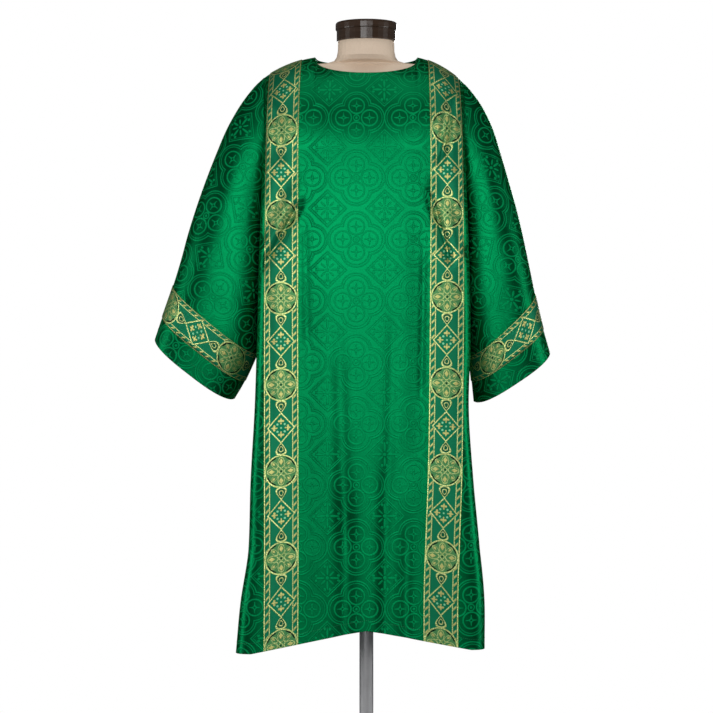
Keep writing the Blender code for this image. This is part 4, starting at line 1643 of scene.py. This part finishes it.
@dataclass
class Dalmatic:
    """The whole garment: panels, sleeves, bands and stitching."""

    finishes: Finishes
    body: Body = field(default_factory=Body)
    bands: Bands = field(default_factory=Bands)
    stitching: Stitching = field(default_factory=Stitching)
    neck_inset: float = 0.010  # from the edge to its line of stitches
    hem_inset: float = 0.022
    neck_margin: int = 3  # columns between a band and the end of the neckline's stitches

    def stand_for(self, piece: Any, node: str) -> None:
        """Let a piece stand for its solid, which is hidden.

        Args:
            piece: the piece.
            node: the solid's node.
        """
        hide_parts(node)
        log.info("%s built: %d faces", piece.name, len(piece.data.polygons))

    def stitch(self, face: Face, sheet: Sheet) -> list[Any]:
        """Stitch a panel along its neckline, between the bands, and along its hem.

        Args:
            face: front or back.
            sheet: the panel's grid.

        Returns:
            The two lines of stitches.
        """
        columns = self.body.side_columns + self.body.band_columns + self.neck_margin
        neck = self.stitching.row_at(sheet, self.neck_inset, False)
        neck = (row[columns:-columns] for row in neck)
        hem = self.stitching.row_at(sheet, self.hem_inset, True)
        return [
            self.stitching.line(f"{face.word}_neck_stitches", *neck, self.finishes),
            self.stitching.line(f"{face.word}_hem_stitches", *hem, self.finishes),
        ]

    def build(self) -> None:
        """Build every piece of the garment."""
        front_piece, front = self.body.build(Face.FRONT, self.finishes)
        back_piece, back = self.body.build(Face.BACK, self.finishes)
        self.stand_for(front_piece, "front_panel")
        self.stand_for(back_piece, "back_panel")
        front_stitches = self.stitch(Face.FRONT, front)
        back_stitches = self.stitch(Face.BACK, back)
        for side in Side:
            band = self.bands.upright(side, self.body, front, back, self.finishes)
            self.stand_for(band, f"{side.word}_orphrey")
            sleeve = Sleeve(side)
            edge = sleeve.armhole_ring(front, back, self.body)
            piece, tube = sleeve.build(edge, self.finishes)
            self.stand_for(piece, f"{side.word}_sleeve")
            cuff = self.bands.cuff(sleeve, tube, self.finishes)
            self.stand_for(cuff, f"{side.word}_sleeve_band")
            edge_row = self.stitching.row_at(tube, self.hem_inset, True)
            loop = (np.concatenate([row, row[:1]]) for row in edge_row)
            hem = self.stitching.line(f"{side.word}_cuff_stitches", *loop, self.finishes)


# ---------------------------------------------------------------- form, stand and studio


@dataclass
class DressForm:
    """Limbless form with its cap, pole and base, which keep their own solids."""

    # node, finish and material slot of each solid
    solids: tuple[tuple[str, str, str], ...] = (
        ("form_torso", "linen", "form_linen"),
        ("neck_cap", "wood", "dark_wood"),
        ("stand_base", "wood", "dark_wood"),
        ("stand_pole", "steel", "pole_steel"),
    )

    def dress(self, finishes: Finishes) -> None:
        """Give the form's solids their finishes.

        Args:
            finishes: the materials.
        """
        for node, finish, slot in self.solids:
            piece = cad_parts[node]
            for own in piece.material_slots:
                own.material = getattr(finishes, finish)
            log.info("%s dressed", node)


class Light(NamedTuple):
    """Square soft light: where it stands, what it faces, its side and its power in watts."""

    name: str
    at: tuple[float, float, float]
    towards: tuple[float, float, float]
    size: float
    power: float


@dataclass
class Studio:
    """Pale floor, soft lights, pale surround and camera."""

    floor_radius: float = 0.60
    floor_corners: int = 96
    floor_z: float = -0.0005
    camera_at: tuple[float, float, float] = (-0.0213, -5.0, 0.862)
    lens: float = 117.1
    sensor: float = 36.0
    lights: tuple[Light, ...] = (
        Light("near_light", (-0.12, -2.6, 1.49), (0.0, 0.0, 1.15), 1.10, 25.0),
        Light("low_light", (-0.20, -3.4, 0.40), (0.0, 0.0, 0.60), 1.0, 4.0),
        Light("left_light", (-3.1, -0.9, 1.0), (0.0, 0.0, 0.8), 1.4, 29.0),
        Light("right_light", (3.1, -0.9, 1.0), (0.0, 0.0, 0.8), 1.4, 29.0),
        Light("top_light", (0.0, -1.0, 3.4), (0.0, 0.0, 1.2), 1.6, 14.0),
        Light("back_light", (0.6, 3.8, 1.6), (0.0, 0.0, 1.0), 1.4, 80.0),
    )
    seen: Colour = (1.0, 1.0, 1.0, 1.0)  # surround as the eye has it
    given: Colour = (0.95, 0.97, 1.0, 1.0)  # and as a source of light
    given_strength: float = 0.09

    def build_floor(self) -> None:
        """Round floor under the stand."""
        turn = np.linspace(0.0, 2 * math.pi, self.floor_corners, endpoint=False)
        rim = self.floor_radius * np.stack([np.cos(turn), np.sin(turn), 0 * turn], axis=-1)
        mesh = bpy.data.meshes.new("floor")
        mesh.from_pydata(rim, [], [list(range(self.floor_corners))])
        mesh.materials.append(PaleFloor().make())
        floor = bpy.data.objects.new("floor", mesh)
        floor.location.z = self.floor_z
        bpy.context.scene.collection.objects.link(floor)

    def add_light(self, light: Light) -> None:
        """Add a light to the scene.

        Args:
            light: what it is like.
        """
        lamp = bpy.data.lights.new(light.name, "AREA")
        lamp.shape = "SQUARE"
        lamp.size = light.size
        lamp.energy = light.power
        item = bpy.data.objects.new(light.name, lamp)
        item.location = light.at
        x, y, z = np.subtract(light.towards, light.at)
        item.rotation_euler = (math.atan2(math.hypot(x, y), -z), 0.0, math.atan2(-x, y))
        bpy.context.scene.collection.objects.link(item)

    def build_world(self) -> None:
        """White surround for the eye, and a dimmer one for the light that it gives."""
        graph = Graph("studio", bpy.data.worlds)
        path = graph.node("ShaderNodeLightPath").outputs["Is Camera Ray"]
        seen = graph.node("ShaderNodeBackground", Color=self.seen).outputs[0]
        given = graph.node("ShaderNodeBackground", Color=self.given, Strength=self.given_strength)
        mixed = graph.node("ShaderNodeMixShader", i0=path, i1=given.outputs[0], i2=seen)
        graph.node("ShaderNodeOutputWorld", i0=mixed.outputs[0])
        bpy.context.scene.world = graph.owner

    def build_camera(self) -> None:
        """Level camera in front of the garment."""
        lens = bpy.data.cameras.new("camera")
        lens.lens = self.lens
        lens.sensor_width = self.sensor
        camera = bpy.data.objects.new("camera", lens)
        camera.location = self.camera_at
        camera.rotation_euler = (math.pi / 2, 0.0, 0.0)
        bpy.context.scene.collection.objects.link(camera)
        bpy.context.scene.camera = camera
        bpy.context.scene.view_settings.view_transform = "Standard"

    def build(self) -> None:
        """Build the whole studio."""
        self.build_camera()
        self.build_floor()
        for light in self.lights:
            self.add_light(light)
        self.build_world()
        log.info("studio built")


def main() -> None:
    """Build the dalmatic, dress its form and set up the studio."""
    logging.basicConfig(level=logging.INFO, format="%(message)s")
    finishes = Finishes(
        Damask().make(),
        Lining().make(),
        Galloon().make(),
        Thread().make(),
        Linen().make(),
        DarkWood().make(),
        BrushedSteel().make(),
    )
    Dalmatic(finishes).build()
    DressForm().dress(finishes)
    Studio().build()
    bpy.context.view_layer.update()


if __name__ == "__main__":
    main()
